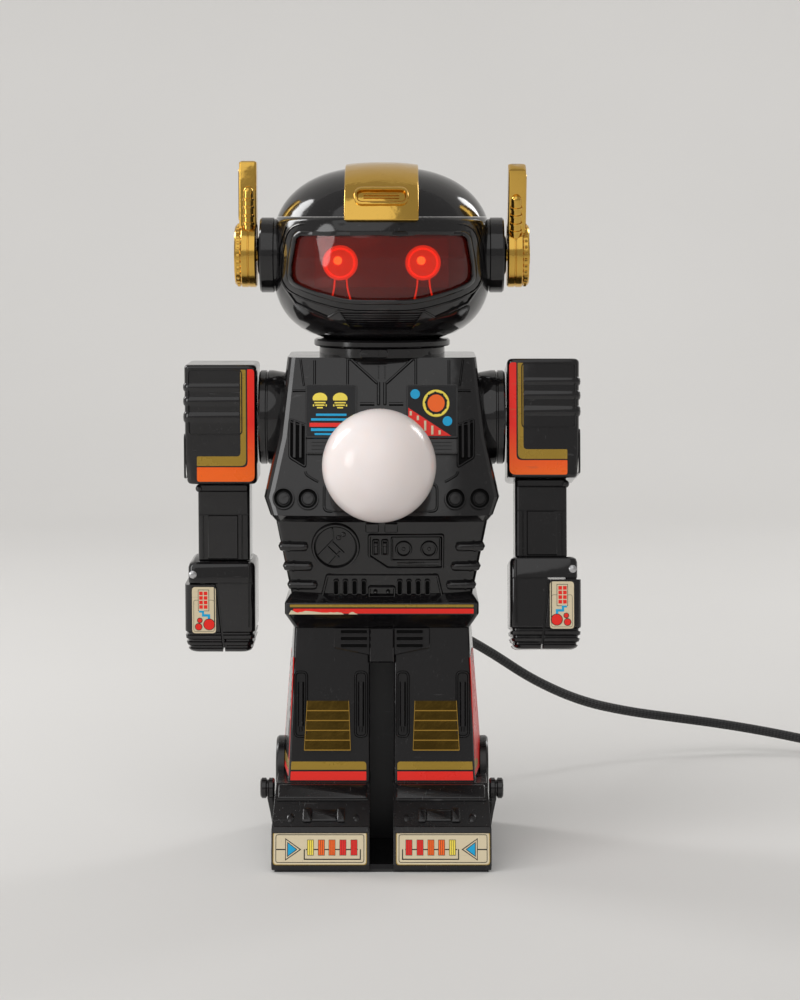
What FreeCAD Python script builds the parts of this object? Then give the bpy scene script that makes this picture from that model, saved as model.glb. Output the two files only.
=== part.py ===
import FreeCAD, Part
import math
import os
from types import SimpleNamespace

import Sketcher

# Robot shaped desk lamp: a plastic robot with a globe bulb in its chest.
# Millimetres, +Z up, the front of the robot faces -Y, its left hand is at +X as a viewer sees it.
# The origin lies on the table, under the middle of the neck.

os.makedirs("parts", exist_ok=True)
doc = FreeCAD.newDocument("robot_lamp")
Vector = FreeCAD.Vector

# Driving sizes: every other size and place is worked out from these
DRIVING = {
    # walls and clearances
    "wall": 2.2,
    "seat_gap": 0.2,
    "fit_gap": 0.05,
    "swing_gap": 0.4,
    # sole and feet
    "pad_thick": 1.2,
    "plate_thick": 2.0,
    "sole_inset": 1.5,
    "foot_inner": 4.6,
    "ankle_height": 32.0,
    "toe_front": 62.0,
    "toe_height": 17.0,
    "toe_slope": 4.0,
    "instep_front": 38.0,
    "heel_back": 34.0,
    "heel_slope": 3.0,
    "ballast_height": 16.0,
    "ballast_gap": 4.0,
    "guard_thick": 4.1,
    "guard_radius": 13.5,
    "guard_drop": 1.0,
    "lever_radius": 4.3,
    "lever_reach": 5.5,
    "lever_place": 30.0,
    "lever_drop": 5.0,
    "lever_stem": 2.4,
    # legs and hips
    "leg_height": 62.5,
    "leg_half_low": 40.5,
    "leg_half_top": 36.5,
    "leg_front_low": 36.0,
    "leg_front_top": 26.0,
    "leg_back": 28.0,
    "leg_gap_half": 5.0,
    "slot_floor": 14.0,
    "hip_height": 14.5,
    "grille_low_half": 19.8,
    "grille_high_half": 17.2,
    "grille_drop": 49.6,
    "grille_height": 20.0,
    "grille_thick": 1.6,
    # belt
    "belt_low_half": 35.0,
    "belt_half": 40.0,
    "belt_front": 31.0,
    "belt_back": 30.0,
    "belt_skirt": 6.5,
    "belt_band": 4.5,
    "belt_bevel": 3.5,
    # torso
    "belly_height": 30.5,
    "belly_low_half": 37.6,
    "belly_low_front": 27.0,
    "belly_top_half": 43.3,
    "belly_top_front": 35.0,
    "bevel_height": 3.1,
    "chest_low_half": 45.6,
    "chest_low_front": 40.0,
    "flank_rise": 7.0,
    "chest_wide_half": 48.3,
    "shoulder_rise": 24.0,
    "chest_mid_half": 43.0,
    "chest_top_rise": 32.4,
    "chest_top_half": 39.0,
    "chest_top_front": 21.0,
    "chest_back": 30.0,
    # rear hatch and its screws
    "hatch_half": 22.0,
    "hatch_height": 34.0,
    "hatch_rise": 30.0,
    "hatch_thick": 1.8,
    "screw_head": 3.2,
    "screw_shank": 1.4,
    "screw_length": 12.0,
    "screw_boss": 3.6,
    "screw_side": 26.0,
    # neck
    "neck_radius": 26.6,
    "neck_height": 4.0,
    "flange_radius": 28.4,
    "flange_thick": 3.3,
    "neck_tube": 12.0,
    "neck_tube_wall": 2.0,
    "neck_tube_length": 12.0,
    "retainer_radius": 17.0,
    "retainer_thick": 2.5,
    # head
    "head_radius": 45.7,
    "head_low": 36.3,
    "head_high": 34.6,
    "head_low_reach": 38.4,
    "head_low_power": 3.0,
    "head_high_power": 2.4,
    "head_wall": 2.0,
    "seam_rise": 13.7,
    "crown_half": 15.0,
    "crown_thick": 1.8,
    "crown_rise": 12.1,
    "crown_back": 22.0,
    "visor_top_half": 35.0,
    "visor_rise": 6.7,
    "visor_wide_half": 37.5,
    "visor_wide_drop": 6.0,
    "visor_side_drop": 12.2,
    "visor_low_half": 30.5,
    "visor_low_drop": 15.6,
    "visor_foot_half": 14.0,
    "visor_foot_drop": 19.9,
    "visor_recess": 0.8,
    "visor_thick": 1.5,
    "eye_side": 16.7,
    "eye_drop": 4.8,
    "eye_rim": 7.1,
    "eye_bulb": 5.9,
    "eye_stand": 3.0,
    "board_front": 27.0,
    "board_thick": 1.6,
    "board_half": 27.0,
    "board_height": 20.0,
    "post_side": 15.0,
    "post_half": 3.0,
    "post_depth": 4.0,
    # ears and antennas
    "ear_radius": 15.6,
    "ear_face": 50.7,
    "ear_drop": 2.1,
    "antenna_gap": 1.3,
    "antenna_thick": 6.6,
    "antenna_disc": 13.4,
    "antenna_rise": 38.9,
    "antenna_low_half": 6.0,
    "antenna_top_half": 4.5,
    "antenna_boss": 12.6,
    "antenna_boss_thick": 2.4,
    "antenna_bore": 2.5,
    "antenna_cap": 4.2,
    "antenna_cap_thick": 2.9,
    "antenna_tilt": 20.0,
    # arms
    "shoulder_height": 26.0,
    "cup_radius": 19.7,
    "cup_face": 51.3,
    "arm_inner": 51.8,
    "arm_width": 30.0,
    "arm_above": 22.8,
    "arm_below": 26.8,
    "arm_depth_half": 17.0,
    "arm_wall": 2.0,
    "axle_radius": 4.0,
    "axle_head": 7.0,
    "axle_head_thick": 2.5,
    "forearm_inner": 55.2,
    "forearm_width": 21.5,
    "forearm_length": 32.5,
    "forearm_depth_half": 11.0,
    "hand_inner": 52.8,
    "hand_width": 29.5,
    "hand_frame": 8.7,
    "hand_length": 28.2,
    "hand_depth_half": 16.5,
    "hand_split": 15.8,
    "hand_taper": 3.0,
    "pin_inset": 3.6,
    "pin_radius": 1.5,
    "pin_drop": 5.2,
    "frame_inset": 1.6,
    "lug_radius": 2.3,
    "lug_half": 4.7,
    "claw_gap": 0.8,
    "arm_swing": 10.0,
    # bulb and its holder
    "bulb_radius": 22.5,
    "bulb_front": 58.0,
    "bulb_rise": 15.4,
    "bulb_neck": 9.5,
    "mouth_room": 1.6,
    "bulb_neck_length": 6.0,
    "cap_radius": 7.0,
    "cap_length": 17.0,
    "contact_radius": 2.5,
    "contact_length": 2.0,
    "holder_radius": 13.0,
    "holder_front": 34.5,
    "holder_length": 36.0,
    "collar_radius": 17.0,
    "collar_stand": 4.5,
    "bracket_half": 9.0,
    "bracket_thick": 2.0,
    # mains entry
    "gland_clear": 0.3,
    "gland_side": 16.5,
    "gland_radius": 7.0,
    "gland_flange": 3.0,
    "relief_length": 24.0,
    "relief_root": 5.0,
    "relief_tip": 3.2,
    "gland_nut_radius": 8.5,
    "gland_nut_thick": 4.0,
    "block_half": 12.0,
    "block_height": 9.0,
    "block_depth": 10.0,
    "block_rise": 26.0,
    # cord and what is on it
    "cord_diameter": 4.5,
    "coil_mean": 48.2,
    "coil_band": 13.8,
    "coil_height": 13.7,
    "switch_length": 60.0,
    "switch_width": 26.0,
    "switch_height": 18.0,
    "switch_wall": 1.8,
    "rocker_length": 20.0,
    "rocker_width": 11.0,
    "rocker_height": 5.0,
    "rocker_pin": 1.5,
    "plug_length": 34.0,
    "plug_width": 26.0,
    "plug_height": 14.0,
    "plug_pin_radius": 2.0,
    "plug_pin_length": 19.0,
    "plug_pin_side": 9.5,
}


class Size:
    """A number together with the spreadsheet expression that gives it."""

    def __init__(self, value, text):
        self.value = value
        self.text = text

    def combine(self, other, sign, number):
        return Size(number, "(%s %s %s)" % (self.text, sign, as_size(other).text))

    def __add__(self, other):
        return self.combine(other, "+", self.value + as_size(other).value)

    def __sub__(self, other):
        return self.combine(other, "-", self.value - as_size(other).value)

    def __mul__(self, other):
        return self.combine(other, "*", self.value * as_size(other).value)

    def __truediv__(self, other):
        return self.combine(other, "/", self.value / as_size(other).value)

    def __radd__(self, other):
        return as_size(other) + self

    def __rsub__(self, other):
        return as_size(other) - self

    def __rmul__(self, other):
        return as_size(other) * self

    def __neg__(self):
        return Size(-self.value, "(0 - %s)" % self.text)


def as_size(thing):
    """A plain number becomes a Size with itself as its text."""
    if isinstance(thing, Size):
        return thing
    return Size(float(thing), repr(float(thing)))


sheet = doc.addObject("Spreadsheet::Sheet", "sizes")
for row, (alias, number) in enumerate(DRIVING.items(), start=1):
    sheet.set("A%d" % row, alias)
    sheet.set("B%d" % row, str(number))
    sheet.setAlias("B%d" % row, alias)
doc.recompute()
s = SimpleNamespace(**{alias: Size(number, "sizes." + alias) for alias, number in DRIVING.items()})

# Levels of the stacked casings, from the table up
sole_top = s.pad_thick + s.plate_thick
hip_top = s.ankle_height + s.leg_height
band_low = hip_top + s.belt_skirt
band_top = band_low + s.belt_band
belt_top = band_top + s.belt_bevel
belly_top = belt_top + s.belly_height
chest_low = belly_top + s.bevel_height
flank = chest_low + s.flank_rise
shoulder_line = flank + s.shoulder_rise
chest_top = shoulder_line + s.chest_top_rise
neck_top = chest_top + s.neck_height
flange_low = neck_top + s.seat_gap
head_floor = flange_low + s.flange_thick
head_centre = head_floor + s.head_low
seam_level = head_centre + s.seam_rise
ear_level = head_centre - s.ear_drop
shoulder_level = chest_top - s.shoulder_height
bulb_level = flank + s.bulb_rise

MOST = 400.0
BODY_PLANES = {"XY": "XY_Plane", "XZ": "XZ_Plane", "YZ": "YZ_Plane"}
NODES = {}
part_count = 0


def new(kind, name):
    """A document object with a serial number, so that repeated names stay apart."""
    global part_count
    part_count += 1
    return doc.addObject(kind, "%s_%d" % (name, part_count))


def bind(thing, prop, size):
    thing.setExpression(prop, as_size(size).text)


def box(name, across, deep, up):
    """A box from its spans along X, Y and Z."""
    thing = new("Part::Box", name)
    for prop, axis, (low, high) in zip(("Length", "Width", "Height"), "xyz", (across, deep, up)):
        bind(thing, prop, as_size(high) - low)
        bind(thing, "Placement.Base." + axis, low)
    return thing


AXES = {
    "X": (Vector(0, 1, 0), 90, "x", ("y", "z")),
    "Y": (Vector(1, 0, 0), -90, "y", ("x", "z")),
    "Z": (Vector(0, 0, 1), 0, "z", ("x", "y")),
}


def along(thing, axis, centre, start):
    """Turn a round primitive to an axis and put its start and centre in place."""
    turn_axis, turn, main, others = AXES[axis]
    thing.Placement = FreeCAD.Placement(Vector(0, 0, 0), FreeCAD.Rotation(turn_axis, turn))
    bind(thing, "Placement.Base." + main, start)
    for letter, place in zip(others, centre):
        bind(thing, "Placement.Base." + letter, place)
    return thing


def rod(name, axis, centre, ends, radius):
    """A cylinder along an axis, from its centre in the other two and its two ends."""
    thing = new("Part::Cylinder", name)
    bind(thing, "Radius", radius)
    bind(thing, "Height", as_size(ends[1]) - ends[0])
    return along(thing, axis, centre, ends[0])


def taper_rod(name, axis, centre, ends, radii):
    """A cone frustum along an axis."""
    thing = new("Part::Cone", name)
    bind(thing, "Radius1", radii[0])
    bind(thing, "Radius2", radii[1])
    bind(thing, "Height", as_size(ends[1]) - ends[0])
    return along(thing, axis, centre, ends[0])


def ball(name, centre, radius):
    thing = new("Part::Sphere", name)
    bind(thing, "Radius", radius)
    for letter, place in zip("xyz", centre):
        bind(thing, "Placement.Base." + letter, place)
    return thing


def frustum(name, low, high, up):
    """A tapered box between two levels; low and high are its spans in X and Y there."""
    thing = new("Part::Wedge", name)
    (low_x, low_y), (high_x, high_y) = low, high
    bind(thing, "Xmin", low_x[0])
    bind(thing, "Xmax", low_x[1])
    bind(thing, "Zmin", -as_size(low_y[1]))
    bind(thing, "Zmax", -as_size(low_y[0]))
    bind(thing, "X2min", high_x[0])
    bind(thing, "X2max", high_x[1])
    bind(thing, "Z2min", -as_size(high_y[1]))
    bind(thing, "Z2max", -as_size(high_y[0]))
    bind(thing, "Ymin", up[0])
    bind(thing, "Ymax", up[1])
    thing.Placement = FreeCAD.Placement(Vector(0, 0, 0), FreeCAD.Rotation(Vector(1, 0, 0), 90))
    return thing


def fuse(name, *things):
    thing = new("Part::MultiFuse", name)
    thing.Shapes = list(things)
    return thing


def cut(name, base, *tools):
    """The base without its tools, one cut after another."""
    for tool in tools:
        thing = new("Part::Cut", name)
        thing.Base = base
        thing.Tool = tool
        base = thing
    return base


def common(name, first, second):
    thing = new("Part::Common", name)
    thing.Base = first
    thing.Tool = second
    return thing


def stack(name, sections, inset=0.0):
    """Tapered boxes between (level, half width, front, back) sections, pulled in by inset."""
    blocks = []
    for lower, upper in zip(sections, sections[1:]):
        spans = []
        for level, half, front, back in (lower, upper):
            reach = as_size(half) - inset
            spans.append(((-reach, reach), (inset - as_size(front), as_size(back) - inset)))
        blocks.append(frustum(name + "_block", spans[0], spans[1], (lower[0], upper[0])))
    if len(blocks) == 1:
        return blocks[0]
    return fuse(name, *blocks)


def prism(name, plane, points, ends):
    """A padded sketch: a closed outline on one of the body's own planes, between two ends."""
    body = new("PartDesign::Body", name)
    sketch = body.newObject("Sketcher::SketchObject", name + "_outline")
    role = BODY_PLANES[plane]
    sketch.AttachmentSupport = [(f, "") for f in body.Origin.OriginFeatures if f.Role == role]
    sketch.MapMode = "FlatFace"
    places = [(as_size(a), as_size(b)) for a, b in points]
    for (a, b), (c, d) in zip(places, places[1:] + places[:1]):
        line = Part.LineSegment(Vector(a.value, b.value, 0), Vector(c.value, d.value, 0))
        sketch.addGeometry(line, False)
    count = len(places)
    for i in range(count):
        sketch.addConstraint(Sketcher.Constraint("Coincident", i, 2, (i + 1) % count, 1))
    for i, place in enumerate(places):
        for kind, size in zip(("DistanceX", "DistanceY"), place):
            rule = sketch.addConstraint(Sketcher.Constraint(kind, -1, 1, i, 1, size.value))
            sketch.setExpression("Constraints[%d]" % rule, size.text)
    start = -as_size(ends[1]) if plane == "XZ" else as_size(ends[0])
    bind(sketch, "AttachmentOffset.Base.z", start)
    pad = body.newObject("PartDesign::Pad", name + "_pad")
    pad.Profile = sketch
    bind(pad, "Length", as_size(ends[1]) - ends[0])
    return body


def side_span(side, inner, outer):
    """A span in X on one side: side is +1 or -1, inner and outer are distances from the middle."""
    if side > 0:
        return (inner, outer)
    return (-as_size(outer), -as_size(inner))


def node(name, thing):
    """Name a finished sub-part; its label is also its file's name."""
    thing.Label = name
    NODES[name] = thing
    return thing


def turn_about(thing, level, angle):
    """Turn a finished piece about an X axis through the given level."""
    turn = math.radians(angle)
    thing.Placement = FreeCAD.Placement(Vector(0, 0, 0), FreeCAD.Rotation(Vector(1, 0, 0), angle))
    bind(thing, "Placement.Base.y", as_size(level) * math.sin(turn))
    bind(thing, "Placement.Base.z", as_size(level) * (1 - math.cos(turn)))
    return thing


SIDES = (("left", -1), ("right", 1))

# Sole: a rubber pad under a steel plate that joins both feet
sole_front = s.toe_front - s.sole_inset
sole_back = s.heel_back - s.sole_inset
guard_near = s.leg_half_low + s.seat_gap
foot_outer = guard_near + s.guard_thick
sole_half = foot_outer - s.sole_inset
node("sole_pad", box("pad", (-sole_half, sole_half), (-sole_front, sole_back), (0, s.pad_thick)))
node("sole_plate", box("plate", (-sole_half, sole_half), (-sole_front, sole_back),
                       (s.pad_thick, sole_top)))


def foot_outline(inset):
    """The foot from the side, pulled in by inset; its sole stays open when inset is not 0."""
    low = sole_top - inset
    return [
        (inset - s.toe_front, low),
        (inset - s.toe_front + s.toe_slope, s.toe_height - inset),
        (-s.instep_front, s.ankle_height - inset),
        (s.heel_back - s.heel_slope - inset, s.ankle_height - inset),
        (s.heel_back - inset, low),
    ]


ballasts = []
levers = []
for side_name, side in SIDES:
    outer = prism("foot", "YZ", foot_outline(0.0), side_span(side, s.foot_inner, foot_outer))
    inner = prism("foot_room", "YZ", foot_outline(s.wall),
                  side_span(side, s.foot_inner + s.wall, foot_outer - s.wall))
    guard = rod("ankle_guard", "X", (0, s.ankle_height - s.guard_drop),
                side_span(side, guard_near, foot_outer), s.guard_radius)
    node("foot_cover_" + side_name, fuse("foot_cover", cut("foot_hollow", outer, inner), guard))
    room = s.wall + s.ballast_gap
    ballasts.append(box("ballast", side_span(side, s.foot_inner + room, foot_outer - room),
                        (-s.instep_front, s.heel_back - s.heel_slope - room),
                        (sole_top, sole_top + s.ballast_height)))
    lever_level = s.ankle_height - s.lever_drop
    knob = rod("knob", "X", (-s.lever_place, lever_level),
               side_span(side, foot_outer, foot_outer + s.lever_reach), s.lever_radius)
    stem = box("stem", side_span(side, foot_outer, foot_outer + s.lever_stem),
               (-s.lever_place - s.lever_stem, s.lever_stem - s.lever_place),
               (s.toe_height - s.lever_radius, lever_level))
    levers.append(fuse("lever", knob, stem))
node("foot_ballast", fuse("ballast_pair", *ballasts))
node("foot_levers", fuse("lever_pair", *levers))

# Legs: a front and a rear shell, with a deep slot in front between the two legs
leg_sections = [
    (s.ankle_height, s.leg_half_low, s.leg_front_low, s.leg_back),
    (hip_top, s.leg_half_top, s.leg_front_top, s.leg_back),
]
hip_low = hip_top - s.hip_height
slot_back = s.wall - s.slot_floor
slot = box("leg_slot", (-s.leg_gap_half, s.leg_gap_half), (-MOST, -s.slot_floor), (0, hip_low))
legs_outer = cut("legs_outer", stack("legs", leg_sections), slot)
slot_wall = box("slot_wall", (-s.leg_gap_half - s.wall, s.leg_gap_half + s.wall),
                (-MOST, slot_back), (0, hip_low + s.wall))
legs_room = cut("legs_room", stack("legs_inside", leg_sections, s.wall), slot_wall)
gland_collar_radius = s.gland_radius + s.wall
gland_level = hip_top - gland_collar_radius - s.gland_clear
gland_hole = rod("gland_hole", "Y", (s.gland_side, gland_level), (0, MOST), s.gland_radius + s.fit_gap)
legs_shell = cut("legs_shell", legs_outer, legs_room, gland_hole)
front_half = box("front_half", (-MOST, MOST), (-MOST, 0), (0, MOST))
rear_half = box("rear_half", (-MOST, MOST), (0, MOST), (0, MOST))
tongue = box("slot_tongue", (-s.foot_inner, s.foot_inner), (-s.slot_floor, slot_back),
             (sole_top, s.ankle_height))
node("legs_front_shell", fuse("legs_front", common("legs_front_half", legs_shell, front_half), tongue))
node("legs_rear_shell", common("legs_rear", legs_shell, rear_half))

# Gilded grilles, one on the front of each shin, lying on the sloping face
leg_slope = (s.leg_front_low - s.leg_front_top) / s.leg_height
grille_top = hip_top - s.grille_drop + s.grille_height
grille_low = hip_top - s.grille_drop
grilles = []
for side_name, side in SIDES:
    shin = (side * (s.leg_gap_half + s.leg_half_low) / 2.0)
    profile = []
    for level, half in ((grille_low, s.grille_low_half / 2.0), (grille_top, s.grille_high_half / 2.0)):
        front = s.leg_front_top + (hip_top - level) * leg_slope
        profile.append(((shin - half, shin + half), (-front - s.grille_thick, -front)))
    grilles.append(frustum("grille", profile[0], profile[1], (grille_low, grille_top)))
node("leg_grilles", fuse("grille_pair", *grilles))

# Belt between the hips and the belly
belt_sections = [
    (hip_top, s.belt_low_half, s.leg_front_top, s.leg_back),
    (band_low, s.belt_half, s.belt_front, s.belt_back),
    (band_top, s.belt_half, s.belt_front, s.belt_back),
    (belt_top, s.belly_low_half, s.belly_low_front, s.belt_back),
]
belt_room = box("belt_room", (s.wall * 2 - s.belt_low_half, s.belt_low_half - s.wall * 2),
                (s.wall * 2 - s.leg_front_top, s.leg_back - s.wall * 2), (0, MOST))
node("waist_belt", cut("belt", stack("belt_outer", belt_sections), belt_room))

# Torso: the belly and the chest as a front and a rear shell
torso_sections = [
    (belt_top, s.belly_low_half, s.belly_low_front, s.chest_back),
    (belly_top, s.belly_top_half, s.belly_top_front, s.chest_back),
    (chest_low, s.chest_low_half, s.chest_low_front, s.chest_back),
]
chest_slope = (s.chest_low_front - s.chest_top_front) / (chest_top - chest_low)


def chest_front(level):
    """How far the leaning front of the chest stands out at a level."""
    return s.chest_low_front - (level - chest_low) * chest_slope


for level, half in ((flank, s.chest_wide_half), (shoulder_line, s.chest_mid_half),
                    (chest_top, s.chest_top_half)):
    torso_sections.append((level, half, chest_front(level), s.chest_back))

torso_outer = stack("torso", torso_sections)
inner_top = chest_top - s.wall
room_sections = list(torso_sections)
room_sections[-1] = (inner_top, s.chest_top_half, chest_front(inner_top), s.chest_back)
torso_room = stack("torso_inside", room_sections, s.wall)
bulb_hole = rod("bulb_hole", "Y", (0, bulb_level), (-MOST, 0), s.holder_radius + s.seat_gap)
neck_hole = rod("neck_hole", "Z", (0, 0), (inner_top - 1, MOST), s.neck_tube + s.fit_gap)
axle_hole = rod("axle_hole", "X", (0, shoulder_level), (-MOST, MOST), s.axle_radius + s.fit_gap)
hatch_low = belt_top + s.hatch_rise
hatch_top = hatch_low + s.hatch_height
hatch_seat = box("hatch_seat", (-s.hatch_half, s.hatch_half),
                 (s.chest_back - s.hatch_thick, MOST), (hatch_low, hatch_top))
hatch_window = box("hatch_window", (s.wall - s.hatch_half, s.hatch_half - s.wall),
                   (0, MOST), (hatch_low + s.wall, hatch_top - s.wall))
torso_shell = cut("torso_shell", torso_outer, torso_room, bulb_hole, neck_hole, axle_hole,
                  hatch_seat, hatch_window)
case_screw_places = [(side * s.screw_side, level) for side in (-1, 1)
                     for level in (belt_top + s.screw_length, chest_top - s.screw_length)]
screw_bosses = []
screw_holes = []
screws = []
for place in case_screw_places:
    screw_bosses.append(rod("screw_boss", "Y", place, (0, s.chest_back - s.wall), s.screw_boss))
    screw_holes.append(rod("screw_hole", "Y", place, (-s.screw_boss, MOST),
                           s.screw_shank + s.fit_gap))
    shank = rod("shank", "Y", place, (s.chest_back - s.screw_length, s.chest_back), s.screw_shank)
    head = taper_rod("screw_top", "Y", place, (s.chest_back, s.chest_back + s.screw_shank),
                     (s.screw_head, s.screw_head - s.screw_shank / 2.0))
    screws.append(fuse("screw", shank, head))
rear_shell = fuse("torso_rear", common("torso_rear_half", torso_shell, rear_half), *screw_bosses)
node("torso_front_shell", common("torso_front", torso_shell, front_half))
node("torso_rear_shell", cut("torso_rear_drilled", rear_shell, *screw_holes))
node("case_screws", fuse("screw_set", *screws))
node("rear_hatch", box("hatch", (s.fit_gap - s.hatch_half, s.hatch_half - s.fit_gap),
                       (s.chest_back - s.hatch_thick, s.chest_back),
                       (hatch_low + s.fit_gap, hatch_top - s.fit_gap)))

# Neck: a fixed drum, and a flange with a tube that turns in it and carries the head
drum = rod("drum", "Z", (0, 0), (chest_top, neck_top), s.neck_radius)
drum_bore = rod("drum_bore", "Z", (0, 0), (0, MOST), s.neck_tube + s.fit_gap)
node("neck_drum", cut("neck_drum", drum, drum_bore))
tube_low = head_floor - s.flange_thick - s.neck_tube_length
flange = rod("flange", "Z", (0, 0), (flange_low, head_floor), s.flange_radius)
tube = rod("tube", "Z", (0, 0), (tube_low, head_floor), s.neck_tube)
tube_bore = rod("tube_bore", "Z", (0, 0), (0, MOST), s.neck_tube - s.neck_tube_wall)
node("neck_flange", cut("neck_flange", fuse("neck_flange_blank", flange, tube), tube_bore))
retainer_top = chest_top - s.wall - s.seat_gap
retainer = rod("retainer", "Z", (0, 0), (retainer_top - s.retainer_thick, retainer_top),
               s.retainer_radius)
retainer_bore = rod("retainer_bore", "Z", (0, 0), (0, MOST), s.neck_tube + s.fit_gap)
node("neck_retainer", cut("neck_retainer", retainer, retainer_bore))


def head_solid(inset):
    """The head as a solid of revolution, pulled in by inset on every side.

    Its outline is a superellipse, with one height and power below the middle and others above.
    """
    radius = DRIVING["head_radius"] - inset
    centre = head_centre.value
    low_reach = DRIVING["head_low_reach"] - inset
    high_reach = DRIVING["head_high"] - inset
    floor = head_floor.value + inset
    low_power = DRIVING["head_low_power"]
    high_power = DRIVING["head_high_power"]
    points = []
    steps = 12
    for i in range(steps + 1):
        level = floor + (centre - floor) * i / steps
        share = 1 - ((centre - level) / low_reach) ** low_power
        points.append(Vector(radius * share ** (1 / low_power), 0, level))
    for i in range(1, steps + 1):
        turn = math.pi / 2 * i / steps
        share = math.sin(turn) ** (2 / high_power)
        reach = max(math.cos(turn), 0.0) ** (2 / high_power)
        points.append(Vector(radius * reach, 0, centre + high_reach * share))
    points[-1] = Vector(0, 0, centre + high_reach)
    curve = Part.BSplineCurve()
    curve.interpolate(points)
    foot = Vector(0, 0, floor)
    edges = [curve.toShape(), Part.makeLine(points[-1], foot), Part.makeLine(foot, points[0])]
    return Part.Face(Part.Wire(edges)).revolve(Vector(0, 0, 0), Vector(0, 0, 1), 360)


def plain_feature(name, shape):
    thing = new("Part::Feature", name)
    thing.Shape = shape
    return thing


# Head: two shells, cut from one hollow solid at the seam
head_outer = plain_feature("head_outer", head_solid(0.0))
head_room = plain_feature("head_room", head_solid(DRIVING["head_wall"]))
head_hollow = cut("head_hollow", head_outer, head_room)


def visor_outline(inset):
    """The face opening from the front, pulled in by inset."""
    half = [
        (s.visor_top_half - inset, head_centre + s.visor_rise - inset),
        (s.visor_wide_half - inset, head_centre - s.visor_wide_drop),
        (s.visor_wide_half - inset, head_centre - s.visor_side_drop + inset),
        (s.visor_low_half - inset, head_centre - s.visor_low_drop + inset),
        (s.visor_foot_half, head_centre - s.visor_foot_drop + inset),
    ]
    return half + [(-across, level) for across, level in reversed(half)]


above_seam = box("above_seam", (-MOST, MOST), (-MOST, MOST), (seam_level, MOST))
below_seam = box("below_seam", (-MOST, MOST), (-MOST, MOST), (0, seam_level))
front_reach = (-MOST, -s.board_front)
window = prism("visor_window", "XZ", visor_outline(0.0), front_reach)
head_bore = rod("head_bore", "Z", (0, 0), (0, head_centre), s.neck_tube - s.neck_tube_wall)
ear_bore = rod("ear_bore", "X", (0, ear_level), (-MOST, MOST), s.antenna_bore + s.fit_gap)
node("head_dome", common("dome", head_hollow, above_seam))
lower_blank = cut("lower_head", common("lower_head_blank", head_hollow, below_seam),
                  window, head_bore, ear_bore)
board_level = head_centre - s.eye_drop
posts = []
for side_name, side in SIDES:
    post_middle = side * s.post_side
    posts.append(box("board_post", (post_middle - s.post_half, post_middle + s.post_half),
                     (s.board_thick - s.board_front, s.board_thick + s.post_depth - s.board_front),
                     (head_floor + s.head_wall / 2.0, board_level)))
node("head_lower_shell", fuse("lower_head_with_posts", lower_blank, *posts))
node("eye_board", box("eye_board", (-s.board_half, s.board_half),
                      (-s.board_front, s.board_thick - s.board_front),
                      (board_level - s.board_height / 2.0, board_level + s.board_height / 2.0)))
lens_inset = DRIVING["visor_recess"]
lens_outer = plain_feature("lens_outer", head_solid(lens_inset))
lens_inner = plain_feature("lens_inner", head_solid(lens_inset + DRIVING["visor_thick"]))
lens_prism = prism("lens_outline", "XZ", visor_outline(s.fit_gap), front_reach)
node("visor_lens", common("visor_lens", cut("lens_sheet", lens_outer, lens_inner), lens_prism))

# Eyes: a collar and a small round lamp each, standing on the eye board
eyes = []
for side_name, side in SIDES:
    place = (side * s.eye_side, board_level)
    rim_front = -s.board_front - s.eye_stand
    rim = rod("eye_rim", "Y", place, (rim_front, -s.board_front), s.eye_rim)
    lamp = ball("eye_bulb", (place[0], rim_front, place[1]), s.eye_bulb)
    keep = box("eye_keep", (-MOST, MOST), (-MOST, -s.board_front), (0, MOST))
    eyes.append(fuse("eye_lamp", rim, common("eye_bulb_front", lamp, keep)))
node("eye_lamps", fuse("eye_pair", *eyes))

# Crown plate: a band that lies on the front and top of the dome
crown_outer = plain_feature("crown_outer", head_solid(-DRIVING["crown_thick"]))
crown_band = box("crown_band", (-s.crown_half, s.crown_half), (-MOST, s.crown_back),
                 (head_centre + s.crown_rise, MOST))
node("crown_plate", common("crown", cut("crown_sheet", crown_outer, head_outer), crown_band))

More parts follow.
